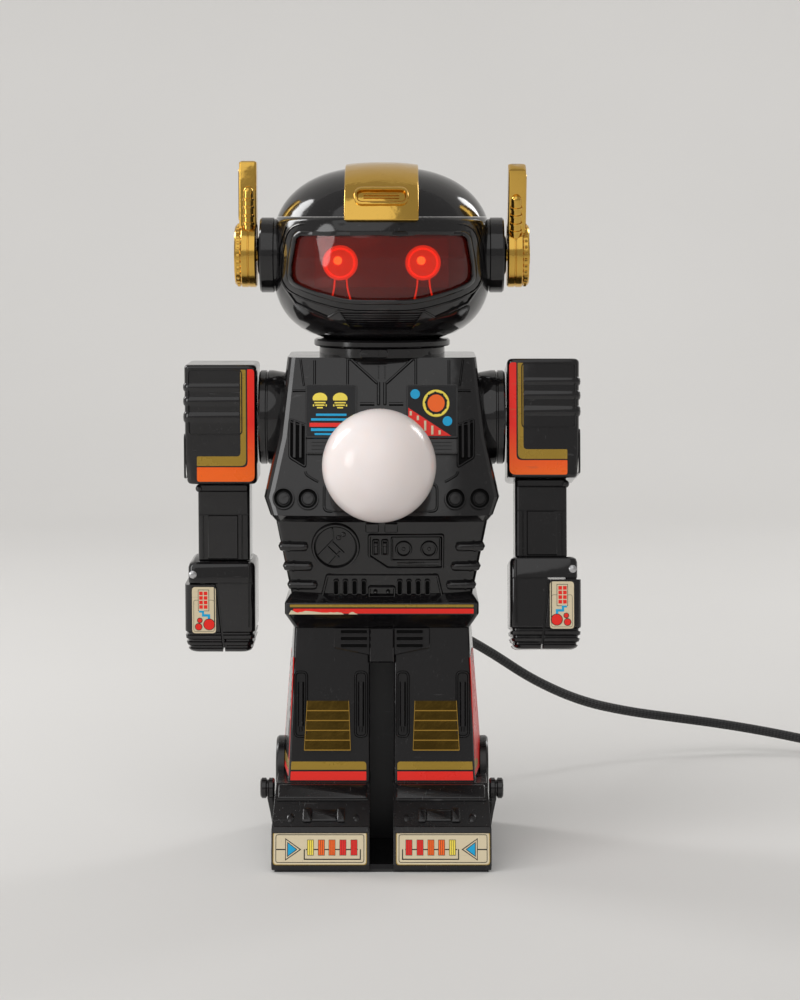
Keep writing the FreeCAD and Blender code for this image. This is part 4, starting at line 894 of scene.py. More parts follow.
class MakeEars(MakerBase, bpy.types.Operator):
    """Make the ear hubs, the tilting antennas and their pivots."""

    bl_idname = "robot_lamp.ears"
    bl_label = "Ears and antennas"

    def execute(self, context):
        for name, side in SIDES:
            move = swung(side, 0.0, EAR)
            hub = Moulding(move)
            hub.turned("x", (0, 0, EAR), HUB_PROFILE, 64)
            hub.plastic_piece("ear_" + name, "head", ["ear_hub_" + name])

            tilt = -ANTENNA_TILT if side > 0 else 0.0
            move = swung(side, -tilt, EAR)
            gold = Moulding(move)
            gold.turned("x", (0, 0, EAR), DISC_PROFILE, 64)
            for turn in np.arange(0, 360, 12):
                spot = (0, 12.4 * math.cos(math.radians(turn)), EAR + 12.4 * math.sin(math.radians(turn)))
                gold.turned("x", spot, [(0.2, 58.9), (0.75, 59.0), (0.75, 60.0), (0.2, 60.3)], 8)
            rings = []
            for level, half in ((EAR, 6.0), (268.0, 5.3), (284.0, 4.6), (286.0, 4.1), (286.6, 3.0)):
                near, far = (52.0, 59.2) if level < 286.5 else (52.7, 58.4)
                flat = rounded(rectangle(near, far, -half, half), 0.9, 4)
                rings.append(ring_at(flat, level))
            gold.loft(rings)
            edge = on_plane((55.3, -5.0, 0), (1, 0, 0), (0, 0.04, 1))
            bend = np.linspace(0.3, 1.5, 5)
            levels = np.concatenate([np.linspace(249.9, 274.0, 14), 274.0 + 2.2 * np.sin(bend)])
            radius = np.concatenate([np.full(14, 2.1), 2.1 * np.cos(bend)])
            angle = np.arange(20) * 2 * math.pi / 20
            bar = np.stack([55.3 + radius[:, None] * np.cos(angle),
                            -6.4 + 0.02 * (levels[:, None] - 250) + radius[:, None] * np.sin(angle),
                            np.broadcast_to(levels[:, None], (len(levels), 20))], -1)
            gold.loft(bar)
            for level in (270.6, 267.4, 263.9, 260.7, 257.5):
                ring = np.array([(2.0, -0.7), (2.55, -0.45), (2.55, 0.45), (2.0, 0.7)])
                gold.turned("z", (55.3, -6.4 + 0.02 * (level - 250), level), ring, 20)
            gold.button(edge, 0.0, 282.4, 1.3, 0.9, low=-1.0)
            face = on_plane((59.2, 0, 0), (0, 1, 0), (0, 0, 1))
            inner = on_plane((59.15, 0, 0), (0, 1, 0), (0, 0, 1))
            border = rounded([(-3.4, 262.5), (3.4, 262.5), (2.5, 283.0), (-2.5, 283.0)], 1.4, 5)
            gold.bead(inner, border, 0.8, 0.4, True)
            for level in (265.5, 268.5, 271.5, 274.5):
                gold.bead(face, [(-2.2, level), (2.2, level)], 0.9, 0.35)
            gold.piece("antenna_blade_" + name, "antenna_arm_" + name, "gold_plating", [finish_of("gold")],
                       ["antenna_" + name], crease=38)
        return {"FINISHED"}


class MakeNeck(MakerBase, bpy.types.Operator):
    """Make the neck drum and the flange that turns on it."""

    bl_idname = "robot_lamp.neck"
    bl_label = "Neck"

    def execute(self, context):
        drum = Moulding()
        profile = [(12.4, 206.0), (26.2, 206.0), (26.2, 209.6), (25.8, 210.0), (12.4, 210.0)]
        drum.turned("z", (0, 0, 0), profile, 80)
        face = on_plane((0, -26.2, 0), (1, 0, 0), (0, 0, 1))
        drum.pad(face, rounded(rectangle(-9.0, 2.6, 206.1, 209.8), 1.4, 4), -2.0, 1.2, 0.4)
        drum.bead(face, [(-1.2, 206.2), (-1.2, 209.4)], 0.5, 1.5)
        drum.plastic_piece("neck_ring", "stand", ["neck_drum"])
        flange = Moulding()
        profile = [(10.0, 198.2), (12.0, 198.2), (12.0, 210.2), (27.9, 210.2), (28.4, 210.7), (28.4, 212.4),
                   (27.6, 213.2), (25.4, 213.4), (10.0, 213.4)]
        flange.turned("z", (0, 0, 0), profile, 80, looped=True)
        flange.plastic_piece("neck_collar", "head", ["neck_flange"])
        return {"FINISHED"}


# torso
TORSO = [(109.0, 37.6, 27.0, 3.4), (139.5, 43.3, 35.0, 3.4), (142.6, 45.6, 40.0, 5.2),
         (149.6, 48.3, 37.9, 6.4), (173.6, 43.0, 30.7, 6.4), (206.0, 39.0, 21.0, 5.4)]


class MakeTorso(MakerBase, bpy.types.Operator):
    """Make the front and rear casings of the torso and the ribbed hatch in its back."""

    bl_idname = "robot_lamp.torso"
    bl_label = "Torso casings"

    def execute(self, context):
        for name, seam_front in (("front", True), ("rear", False)):
            casing = Moulding()
            casing.loft([half_section(half, depth, 30.0, level, corner if seam_front else 5.0, seam_front,
                                      CROWN if seam_front else 0.0)
                         for level, half, depth, corner in TORSO])
            casing.plastic_piece("torso_" + name, "stand", ["torso_%s_shell" % name], bevel=rounding(),
                                 crease=9.0)
        hatch = Moulding()
        hatch.pad(BACK, rounded(rectangle(-21.85, 21.85, 139.15, 172.85), 1.2, 4), -1.8, 0.7, 0.4)
        hatch.bead(BACK, rounded(rectangle(-23.2, 23.2, 137.8, 174.2), 1.6, 4), 0.9, 0.6, True)
        for level in np.arange(143.5, 166.0, 3.2):
            hatch.bead(BACK, [(-17.5, level), (17.5, level)], 1.3, 1.35)
        hatch.pad(BACK, rounded(rectangle(-5.5, 5.5, 168.6, 172.2), 0.9, 4), -0.5, 1.5, 0.5)
        hatch.plastic_piece("hatch_panel", "stand", ["rear_hatch"])
        return {"FINISHED"}


class MakeChestRelief(MakerBase, bpy.types.Operator):
    """Make the moulded lines, gauges, pipes and ribbed blocks of the chest and belly."""

    bl_idname = "robot_lamp.chest_relief"
    bl_label = "Chest and belly relief"

    def execute(self, context):
        relief = Moulding()
        for side in relief.both_sides():
            relief.pad(CHEST, rounded(rectangle(10.2, 31.2, 173.5, 194.9), 0.9), -0.5, 0.9, 0.35)
            relief.bead(CHEST, rounded(rectangle(10.4, 31.0, 173.7, 194.7), 0.8), 0.7, 1.15, True)
            relief.pad(CHEST, rounded(rectangle(10.8, 31.0, 166.9, 173.3), 0.8), -0.5, 1.8, 0.5)
            for level in (171.7, 170.3, 168.9):
                relief.bead(CHEST, [(13.0, level), (28.6, level)], 0.7, 2.2)
            for across, low, high in ((27.6, 194.9, 204.9), (14.0, 194.9, 205.4)):
                relief.edged(CHEST, [(across, low), (across, high)], 0.7, 0.5)
            relief.edged(CHEST, [(12.6, 205.2), (1.9, 195.6)], 0.8, 0.6)
            relief.edged(CHEST, [(3.0, 187.3), (8.9, 187.3)], 1.1, 0.55)
            relief.edged(CHEST, [(31.0, 192.6), (36.6, 192.5)], 0.6, 0.45)
            relief.edged(CHEST, [(31.0, 178.4), (34.6, 179.0), (37.4, 180.0)], 0.6, 0.45)
            case = rounded([(31.2, 178.9), (37.6, 181.0), (37.6, 165.8), (31.2, 162.0)], 0.9, 3)
            relief.edged(CHEST, case, 0.7, 0.6, True)
            # painted shade: a dark film inside the case outline where its hollow would lie in shade
            relief.sticker(CHEST, [(31.6, 178.2), (37.2, 180.3), (37.2, 166.2), (31.6, 162.7)], 0.08, 1)
            for across in (33.2, 35.7):
                relief.bead(CHEST, [(across, 178.6 + (across - 31) * 0.3), (across, 165.6)], 1.7, 1.1)
            pipe = rounded([(31.2, 162.0), (31.0, 159.0), (27.0, 156.6), (23.8, 155.4)], 1.2, 3)[4:-4]
            relief.edged(CHEST, pipe, 0.6, 0.45)
            for across in (30.0, 40.0):
                # painted shade: a dark ring inside each gauge bead
                relief.bead(CHEST, circle(across, 149.3, 3.25, 36), 1.1, 0.06, True, paint=1)
                relief.bead(CHEST, circle(across, 149.3, 4.1, 36), 0.9, 1.15, True)
                relief.pad(CHEST, circle(across, 149.3, 2.5, 28), -0.5, 0.7, 0.35)
                relief.bead(CHEST, [(across - 0.3 * side, 149.4), (across + 1.8 * side, 150.9)], 0.5, 1.0)
            for across in np.arange(1.6, 10.0, 1.2):
                relief.button(CHEST, across, 204.1, 0.32, 0.3)
            for level in np.arange(197.8, 203.2, 1.1):
                relief.button(CHEST, 1.3, level, 0.3, 0.3)
            relief.edged(CHEST, [(32.0, 194.6), (33.4, 205.2)], 0.5, 0.35)
            for level, near, far in ((129.1, 30.0, 42.4), (120.7, 28.2, 40.7), (112.7, 26.3, 39.0)):
                step = np.linspace(0, math.pi, 13)
                along = np.linspace(0, 1, 19)
                width = 2.0 * np.sqrt(np.clip(1 - np.abs(2 * along - 1) ** 9, 0.02, 1))
                across = near + (far - near) * along
                rings = []
                for where, half in zip(across, width):
                    ring = np.stack([np.full(13, where), level + half * np.cos(step)], -1)
                    rings.append(BELLY(ring, half * np.sin(step) * 1.35 - 0.3))
                relief.loft(rings)
                collar = near + (far - near) * 0.62
                ring = np.stack([np.full(13, collar), level + 2.35 * np.cos(step)], -1)
                other = ring + np.array([0.7, 0.0])
                relief.loft([BELLY(ring, 3.1 * np.sin(step) - 0.4), BELLY(other, 3.1 * np.sin(step) - 0.4)])
            for across in (7.4, 11.2, 15.0, 18.8):
                slot = rounded(rectangle(across - 1.0, across + 1.0, 108.9, 115.0), 0.9, 4)
                # painted shade: a dark film for the shade inside each belly slot
                relief.sticker(BELLY, slot, 0.08, 1)
                relief.bead(BELLY, slot, 0.5, 1.1, True)
            relief.button(BELLY, 2.6, 109.9, 0.9, 1.6)
            relief.pad(BELLY, rounded(rectangle(1.2, 6.6, 135.4, 139.2), 0.5), -0.5, 0.9, 0.3)
            relief.edged(CHEST, [(1.3, 187.0), (1.3, 196.0)], 1.0, 0.8)
        relief.edged(CHEST, [(-14.0, 205.3), (14.0, 205.3)], 0.6, 0.4)
        relief.edged(CHEST, rounded(rectangle(-23.4, 22.6, 144.4, 155.2), 2.2, 5), 0.7, 0.6, True)

        relief.edged(BELLY, circle(-18.9, 129.3, 9.2, 64), 1.2, 0.95, True)
        relief.pad(BELLY, circle(-18.9, 129.3, 8.3, 48), -0.5, 0.25, 0.2)
        for start, stop, width in (
                ((-26.0, 125.6), (-19.6, 132.4), 0.7), ((-22.4, 129.4), (-17.6, 124.6), 1.0),
                ((-20.4, 131.3), (-15.6, 126.5), 1.0), ((-19.6, 132.4), (-20.2, 137.0), 0.6),
                ((-17.2, 127.2), (-21.6, 121.8), 0.6)):
            relief.edged(BELLY, [start, stop], width, 0.6)
        for across, level in ((-17.6, 133.0), (-15.7, 134.4)):
            relief.button(BELLY, across, level, 1.1, 0.9)
        panel = [(-5.1, 134.1), (25.0, 134.1), (25.0, 120.1), (2.4, 120.1), (-5.1, 125.2)]
        relief.edged(BELLY, rounded(panel, 0.6, 3), 0.9, 0.75, True)
        relief.edged(BELLY, rounded(rectangle(4.2, 24.0, 123.4, 133.2), 0.6, 3), 0.6, 0.5, True)
        for across in (9.0, 19.4):
            relief.edged(BELLY, circle(across, 128.2, 3.0, 32), 0.7, 0.7, True)
            relief.button(BELLY, across, 128.2, 0.8, 0.5)
        for across in (-2.4, 1.3):
            tube = rounded(rectangle(across - 1.0, across + 1.0, 125.8, 132.0), 0.4, 3)
            relief.edged(BELLY, tube, 0.5, 0.6, True)
            relief.pad(BELLY, rectangle(across - 0.9, across + 0.9, 129.4, 131.0), -0.4, 1.1, 0.3)
        relief.bead(BELLY, [(6.4, 121.8), (23.6, 121.8)], 1.3, 0.5)
        for across in np.arange(11.5, 17.5, 0.95):
            relief.bead(BELLY, [(across, 121.1), (across, 122.5)], 0.4, 0.9)
        vent = [(-22.4, 117.0), (22.8, 117.0), (24.9, 107.9), (-24.6, 107.9)]
        relief.edged(BELLY, rounded(vent, 0.6, 3), 0.9, 0.8, True)
        relief.edged(BELLY, rounded(rectangle(-5.2, 5.2, 108.2, 112.0), 0.5, 3), 0.7, 1.0, True)
        # the second finish paints the shade of grooves, slots and rings
        relief.piece("chest_relief", "stand", "black_plastic", [finish_of("plastic"), finish_of("recess")])
        return {"FINISHED"}


class MakeChestPrints(MakerBase, bpy.types.Operator):
    """Make the two printed panels on the chest."""

    bl_idname = "robot_lamp.chest_prints"
    bl_label = "Chest prints"

    def execute(self, context):
        film = Moulding()
        for side in (-1, 1):
            ground = rectangle(*((-30.6, -10.8) if side < 0 else (10.8, 30.6)), 174.1, 194.3)
            film.sticker(CHEST, ground, 0.94, BLACK)
        for middle in (-25.3, -17.0):
            angle = np.linspace(-0.35, math.pi + 0.35, 20)
            lamp = np.column_stack([middle + 3.0 * np.cos(angle), 189.3 + 2.3 * np.sin(angle)])
            film.sticker(CHEST, lamp, CHEST_FILM, YELLOW)
            for level, half in ((187.6, 2.3), (186.6, 1.9), (185.6, 1.2)):
                bar = rectangle(middle - half, middle + half, level - 0.28, level + 0.28)
                film.sticker(CHEST, bar, CHEST_FILM, YELLOW)
            for shift in (-2.6, 2.6):
                foot = rectangle(middle + shift - 0.25, middle + shift + 0.25, 186.1, 186.9)
                film.sticker(CHEST, foot, CHEST_FILM, YELLOW)
        for left, right, low, high, ink in (
                (-26.9, -14.4, 182.3, 183.2, BLUE), (-28.9, -13.6, 180.4, 181.3, BLUE),
                (-29.5, -13.6, 177.9, 179.5, RED), (-28.9, -13.6, 176.2, 177.3, BLUE),
                (-27.4, -13.6, 174.6, 175.4, BLUE)):
            film.sticker(CHEST, rectangle(left, right, low, high), CHEST_FILM, ink)
        for across, level in ((13.7, 191.1), (26.9, 180.2)):
            film.sticker(CHEST, circle(across, level, 1.95, 32), CHEST_FILM, BLUE)
        film.bead(CHEST, circle(22.3, 187.4, 4.95, 60), 1.6, CHEST_FILM, True, low=0.7, paint=YELLOW)
        film.sticker(CHEST, circle(22.3, 187.4, 3.5, 40), 1.03, AMBER)
        for turn in range(0, 360, 40):
            angle = math.radians(turn + 15)
            spot = circle(22.3 + 4.2 * math.cos(angle), 187.4 + 4.2 * math.sin(angle), 0.55, 12)
            film.sticker(CHEST, spot, 1.05, BLACK)
        film.sticker(CHEST, [(10.9, 185.6), (28.4, 174.3), (10.9, 174.3)], CHEST_FILM, RED)
        for across, low, high in ((11.9, 182.5, 184.2), (14.8, 180.6, 182.4), (17.8, 176.4, 180.4),
                                  (20.7, 174.8, 178.4), (23.7, 174.8, 176.5)):
            film.sticker(CHEST, rectangle(across - 0.45, across + 0.45, low, high), 1.07, CREAM)
        film.printed_piece("chest_prints", "stand")
        return {"FINISHED"}


class MakeBelt(MakerBase, bpy.types.Operator):
    """Make the belt with its two printed stripes, torn on one side."""

    bl_idname = "robot_lamp.belt"
    bl_label = "Belt"

    def execute(self, context):
        belt = Moulding()
        rings = []
        for level, half, depth, back in ((94.5, 36.2, 26.0, 28.0), (101.0, 40.0, 31.0, 30.0),
                                         (105.5, 40.0, 31.0, 30.0), (109.0, 37.6, 27.0, 30.0)):
            flat = rounded(rectangle(-half, half, -depth, back), 2.4, 5)
            rings.append(ring_at(flat, level))
        belt.loft(rings)
        belt.plastic_piece("belt", "stand", ["waist_belt"], bevel=0.7, crease=9.0)
        film = Moulding()
        film.sticker(BELT, rounded(rectangle(-37.8, 37.8, 103.9, 105.0), 0.3, 2), 0.14, GOLD)
        film.sticker(BELT, rectangle(-37.8, 37.8, 103.3, 103.9), 0.12, BLACK)
        film.sticker(BELT, rounded(rectangle(-36.5, 37.8, 101.3, 103.3), 0.3, 2), 0.14, RED)
        random = np.random.default_rng(7)
        for start, stop, rise in ((-38.2, -15.0, 1.5), (-13.6, -9.4, 1.1)):
            across = np.arange(start, stop, 0.9)
            share = (across - start) / (stop - start)
            top = 101.15 + rise * (0.35 + 0.65 * np.abs(np.sin(7.0 * share ** 0.7 + 1.2))) * (1 - 0.6 * share)
            top += (random.random(len(across)) - 0.5) * 0.3
            top[[0, -1]] = 101.1
            under = np.column_stack([across, np.full(len(across), 100.95)])
            film.sticker(BELT, np.concatenate([np.column_stack([across, top]), under[::-1]]), 0.22, CREAM)
        film.printed_piece("belt_stripes", "stand")
        return {"FINISHED"}


# legs and feet
class MakeLegs(MakerBase, bpy.types.Operator):
    """Make the leg casings, the hip buckle and the dark wall between the legs."""

    bl_idname = "robot_lamp.legs"
    bl_label = "Leg casings"

    def execute(self, context):
        legs = Moulding()
        for side in legs.both_sides():
            rings = []
            for level, half, depth, seam in ((32.0, 38.4, 36.0, 42.4), (94.5, 36.0, 26.0, 37.4)):
                corners = [(seam, -0.1), (half, -depth), (5.0, -depth), (5.0, -0.1)]
                flat = rounded(corners, (0.15, 1.6, 1.6, 0.15), 5)
                rings.append(ring_at(flat, level))
            legs.loft(rings)
        wall = [(-5.2, -0.2), (5.2, -0.2), (5.2, -14.0), (-5.2, -14.0)]
        legs.loft([ring_at(wall, level) for level in (3.3, 94.4)], 1)
        legs.piece("legs_front", "stand", "black_plastic", [finish_of("plastic"), finish_of("dull")],
                   ["legs_front_shell"], bevel=0.6, crease=30.0)
        rear = Moulding()
        rings = []
        for level, seam, half in ((32.0, 42.4, 40.5), (94.5, 37.4, 36.5)):
            corners = [(-seam, 0.1), (-half, 28.0), (half, 28.0), (seam, 0.1)]
            rings.append(ring_at(rounded(corners, (0.15, 4.0, 4.0, 0.15), 5), level))
        rear.loft(rings)
        rear.plastic_piece("legs_rear", "stand", ["legs_rear_shell"], bevel=rounding(), crease=30.0)

        relief = Moulding()
        relief.pad(SHIN, rounded(rectangle(-5.0, 5.0, 80.4, 94.6), 0.6), -11.0, 1.4, 0.5)
        for side in relief.both_sides():
            hip = rounded([(5.0, 94.6), (19.8, 94.6), (19.8, 86.4), (5.0, 83.4)], 0.5)
            relief.pad(SHIN, hip, -0.5, 0.9, 0.3)
            for level in (93.0, 90.2, 87.3):
                slot = rounded(rectangle(6.0, 17.0, level - 0.75, level + 0.75), 0.4, 3)
                # painted shade: a dark film for the shade inside each hip vent slot
                relief.sticker(SHIN, slot, 0.97, 1)
                relief.bead(SHIN, slot, 0.45, 1.45, True)
            for across, width in ((8.6, 4.6), (33.4, 4.8)):
                pocket = rounded(rectangle(across - width / 2, across + width / 2, 50.4, 76.6), 1.9, 5)
                # painted shade: a dark band round each shin pocket
                relief.bead(SHIN, pocket, 1.2, 0.06, True, paint=1)
                relief.bead(SHIN, pocket, 0.7, 1.1, True)
                relief.bead(SHIN, [(across, 54.6), (across, 72.6)], 2.6, 2.1)
                relief.bead(SHIN, [(across, 52.4), (across, 54.2)], 1.4, 1.1)
        # the second finish paints the shade in slots and round pockets
        relief.piece("leg_relief", "stand", "black_plastic", [finish_of("plastic"), finish_of("recess")])

        grille = Moulding()
        for side in grille.both_sides():
            levels = np.linspace(44.9, 64.9, 6)
            near = list(zip(np.linspace(12.9, 13.65, 6), levels))
            far = list(zip(np.linspace(31.9, 30.75, 6), levels))
            for low_near, high_near, low_far, high_far in zip(near, near[1:], far, far[1:]):
                corners = [low_near, low_far, high_far, high_near]
                # painted shade: the grille slats take the darkened copy of the gold plating
                grille.loft([SHIN(corners, -0.4), SHIN(corners, np.array([1.25, 1.25, 1.0, 1.0]))], 1)
                grille.bead(SHIN, [low_near, low_far], 0.8, 1.8)
                for low_end, high_end in ((low_near, high_near), (low_far, high_far)):
                    grille.bead(SHIN, [low_end, high_end], 0.45, 1.6)
        # the second finish is the gold plating darkened as painted shade
        grille.piece("shin_grilles", "stand", "gold_plating", [finish_of("gold"), finish_of("old_gold")],
                     ["leg_grilles"])

        film = Moulding()
        for side in film.both_sides():
            film.sticker(SHIN, rounded([(6.4, 40.2), (37.3, 40.2), (37.5, 36.9), (6.4, 36.9)],
                                       (1.4, 0.2, 0.1, 0.1), 4), 0.12, GOLD)
            film.sticker(SHIN, [(6.4, 36.9), (37.5, 36.9), (37.5, 36.2), (6.4, 36.2)], 0.13, BLACK)
            film.sticker(SHIN, [(6.4, 36.2), (37.5, 36.2), (37.7, 32.6), (6.4, 32.6)], 0.12, RED)
        film.printed_piece("shin_stripes", "stand")
        for name, side in SIDES:
            chevrons = Moulding(swung(side, 0.0, 0.0))
            chevrons.sticker(shin_side, [(-33.2, 34.0), (-28.2, 82.5), (-2.0, 82.5), (-2.0, 34.0)], 0.12, RED)
            for level in np.arange(58.0, 80.0, 3.4):
                for shift in (0.0, 8.4, 16.8):
                    chevrons.sticker(shin_side, [(-28.2 + shift, level), (-24.2 + shift, level + 2.4),
                                                 (-20.2 + shift, level), (-20.2 + shift, level + 1.3),
                                                 (-24.2 + shift, level + 3.7), (-28.2 + shift, level + 1.3)],
                                     0.16, BLACK)
            for across in np.arange(-30.0, -3.0, 4.2):
                chevrons.sticker(shin_side, rectangle(across, across + 1.1, 41.5, 56.5), 0.16, BLACK)
            band = [(-33.0, 36.6), (-32.7, 40.2), (-2.2, 40.2), (-2.2, 36.6)]
            chevrons.sticker(shin_side, band, 0.15, GOLD)
            chevrons.printed_piece("leg_chevrons_" + name, "stand")
        return {"FINISHED"}


class MakeFeet(MakerBase, bpy.types.Operator):
    """Make the feet with their blocks, levers and printed labels."""

    bl_idname = "robot_lamp.feet"
    bl_label = "Feet"

    def execute(self, context):
        profile = np.array([(-61.5, 1.0), (-62.0, 3.2), (-58.0, 17.0), (-38.0, 32.0), (31.0, 32.0),
                            (34.0, 3.2), (33.7, 1.0)])
        outer = np.array([44.4, 44.6, 44.6, 43.4, 43.4, 44.6, 44.4])
        for name, side in SIDES:
            foot = Moulding(swung(side, 0.0, 0.0))
            foot.loft([np.column_stack([np.full(7, 4.8), profile]), np.column_stack([outer, profile])])
            ankle = [(0.5, 40.8), (13.2, 40.8), (13.5, 41.1), (13.5, 43.8), (12.7, 44.7), (9.4, 44.7),
                     (9.1, 44.3), (0.5, 44.3)]
            foot.turned("x", (0, 0, 31.0), ankle, 56)
            foot.piece("foot_" + name, "stand", "black_plastic", [finish_of("dusty")], ["foot_cover_" + name],
                       bevel=1.0, crease=20.0)
        relief = Moulding()
        for side in relief.both_sides():
            relief.pad(TOE, rounded(rectangle(5.2, 44.2, 15.5, 18.2), 0.8), -1.0, 0.8, 0.4)
            relief.pad(INSTEP, rounded(rectangle(6.0, 42.4, 26.6, 31.4), 0.8), -0.5, 0.6, 0.4)
            relief.bead(INSTEP, [(5.8, 26.4), (42.8, 26.4)], 0.8, 0.8)
            relief.pad(INSTEP, rounded(rectangle(18.2, 28.4, 19.6, 23.2), 0.4), -0.5, 0.6, 0.3)
            for left, right in ((14.9, 18.0), (28.5, 32.0)):
                relief.pad(INSTEP, rounded(rectangle(left, right, 19.2, 23.6), 0.6), -0.5, 1.0, 0.4)
            relief.button(INSTEP, 37.0, 20.6, 1.5, 0.7)
            relief.button(INSTEP, 10.2, 20.6, 1.2, 0.5)
        relief.piece("foot_relief", "stand", "black_plastic", [finish_of("dusty")])
        levers = Moulding()
        knob = [(0.4, 0.0), (3.7, 0.0), (4.3, 0.7), (4.3, 2.2), (3.5, 2.6), (3.5, 3.2), (4.3, 3.6),
                (4.3, 5.2), (3.6, 5.8), (0.4, 5.8)]
        for side in levers.both_sides():
            levers.turned("x", (FOOT_SIDE, LEVER_PLACE, 28.2), knob, 40)
            stem = []
            for level, reach, half in (
                    (12.8, 1.0, 1.5), (18.0, 1.8, 1.8), (24.0, 3.0, 2.2), (27.0, 3.0, 2.2)):
                flat = rectangle(FOOT_SIDE, FOOT_SIDE + reach, LEVER_PLACE - half, LEVER_PLACE + half)
                stem.append(ring_at(rounded(flat, 0.5, 3), level))
            levers.loft(stem)
        levers.plastic_piece("side_levers", "stand", ["foot_levers"])

        film = Moulding()
        for side in film.both_sides():
            film.sticker(TOE, rounded(rectangle(5.9, 43.9, 3.2, 16.2), 1.3, 4), 0.12, GOLD)
            film.sticker(TOE, rounded(rectangle(6.2, 43.6, 3.45, 15.95), 1.2, 4), 0.15, CREAM)
            film.bead(TOE, rounded(rectangle(7.1, 42.7, 4.2, 14.9), 0.9, 4), 0.38, 0.2, True, 0.0, BLACK)
            for tip, back, low, high, height, ink in (
                    (32.4, 38.9, 4.9, 13.6, 0.18, BLACK), (33.1, 38.6, 5.5, 13.0, 0.21, CREAM),
                    (34.0, 38.1, 6.3, 12.2, 0.24, BLACK), (34.5, 37.8, 6.8, 11.7, 0.27, BLUE)):
                film.sticker(TOE, [(back, high), (tip, 9.2), (back, low)], height, ink)
            for sides in ((38.9, 42.6, 8.98, 9.42), (9.6, 30.6, 8.98, 9.42), (8.3, 31.4, 5.2, 5.65),
                          (8.3, 8.75, 5.2, 9.3), (30.95, 31.4, 5.2, 9.3)):
                film.sticker(TOE, rectangle(*sides), 0.18, BLACK)
            for middle, ink in ((28.7, YELLOW), (24.3, AMBER), (20.0, AMBER), (15.6, RED), (11.1, RED)):
                film.sticker(TOE, rectangle(middle - 1.35, middle + 1.35, 6.9, 13.0), 0.21, BLACK)
                film.sticker(TOE, rectangle(middle - 1.15, middle + 1.15, 7.1, 12.8), 0.24, ink)
                for shift in (-0.42, 0.42):
                    film.sticker(TOE, rectangle(middle + shift - 0.08, middle + shift + 0.08, 7.2, 12.7),
                                 0.26, BLACK)
        film.printed_piece("foot_labels", "stand")
        return {"FINISHED"}


# arms and hands
def boxed(inner, outer, depth, level, corner):
    """A closed ring of a block: a rectangle in x and y with its corners rounded."""
    return ring_at(rounded(rectangle(inner, outer, -depth, depth), corner, 5), level)


class MakeArms(MakerBase, bpy.types.Operator):
    """Make the shoulder cups, the upper arms with their ribs and stripes, and the forearms."""

    bl_idname = "robot_lamp.arms"
    bl_label = "Arms"

    def execute(self, context):
        for name, side in SIDES:
            cup = Moulding(swung(side, 0.0, SHOULDER))
            profile = [(4.1, 37.0), (17.6, 37.0), (18.9, 41.0), (19.7, 45.4), (19.7, 47.2), (19.2, 47.5),
                       (19.2, 48.0), (19.7, 48.3), (19.7, 50.4), (18.9, 51.2), (4.1, 51.2)]
            cup.turned("x", (0, 0, SHOULDER), profile, 72)
            cup.plastic_piece("shoulder_" + name, "stand", ["shoulder_cup_" + name])

            move = swung(side, ARM_SWING if side > 0 else 0.0, SHOULDER)
            body = "arm_" + name
            arm = Moulding(move)
            arm.loft([boxed(51.9, outer, 17.0, level, 3.4)
                      for level, outer in ((153.2, 80.8), (165.0, 81.6), (202.8, 81.8))])
            arm.plastic_piece("upper_arm_casing_" + name, body, ["upper_arm_" + name, "arm_cover_" + name],
                              bevel=1.5, crease=30)

            relief = Moulding(move)
            path = rounded(rectangle(59.0, 81.8, -17.0, 17.0), (0.01, 3.4, 3.4, 0.01), 6)[3:-4]
            for level, half in ((193.4, 1.7), (187.6, 1.9), (181.0, 2.2)):
                relief.rail(path, level, half, 0.6)
            relief.bead(ARM, rounded(rectangle(57.9, 80.0, 174.0, 200.6), 1.6, 4), 0.5, 0.3, True)
            side_face = flank(150.0, 81.8, 200.0, 81.801)
            relief.bead(side_face, rounded(rectangle(-14.6, 14.6, 155.6, 173.6), 2.0, 4), 0.6, 0.35, True)
            relief.plastic_piece("upper_arm_ribs_" + name, body)

            film = Moulding(move)
            for near, far, top, low, high, radii, height, ink in (
                    (58.5, 56.2, 200.8, 160.9, 164.9, (0.6, 1.6, 0.6, 0.3, 2.4, 0.4), 0.14, GOLD),
                    (55.6, 52.7, 201.0, 154.4, 160.4, (0.4, 2.2, 0.3, 1.0, 2.6, 1.4), 0.14, ORANGE),
                    (55.9, 55.6, 201.0, 160.4, 160.7, (0.05, 2.0, 0.05, 0.05, 2.2, 0.05), 0.16, BLACK)):
                corners = [(near, top), (near, high), (76.6, high), (76.6, low), (far, low), (far, top)]
                film.sticker(ARM, rounded(corners, radii, 4), height, ink)
            film.printed_piece("arm_stripes_" + name, body)

            fore = Moulding(move)
            fore.loft([boxed(55.2, 76.7, 11.0, level, 1.6) for level in (120.8, 153.1)])
            fore.plastic_piece("forearm_block_" + name, body, ["forearm_" + name], bevel=0.5)
            trim = Moulding(move)
            trim.pad(FOREARM, rounded(rectangle(55.6, 76.3, 149.6, 152.9), 1.2, 4), -0.5, 1.3, 0.6)
            trim.button(FOREARM, 76.0, 151.0, 1.7, 1.8)
            trim.pad(FOREARM, rounded(rectangle(60.0, 72.6, 121.4, 139.8), 0.4, 3), -0.5, 0.9, 0.35)
            trim.bead(FOREARM, [(58.4, 121.2), (58.4, 139.9)], 0.7, 0.5)
            trim.bead(FOREARM, [(55.6, 140.0), (76.3, 140.0)], 0.5, 0.4)
            trim.bead(FOREARM, [(74.6, 121.2), (74.6, 139.9)], 0.5, 0.35)
            trim.plastic_piece("forearm_relief_" + name, body)
        return {"FINISHED"}


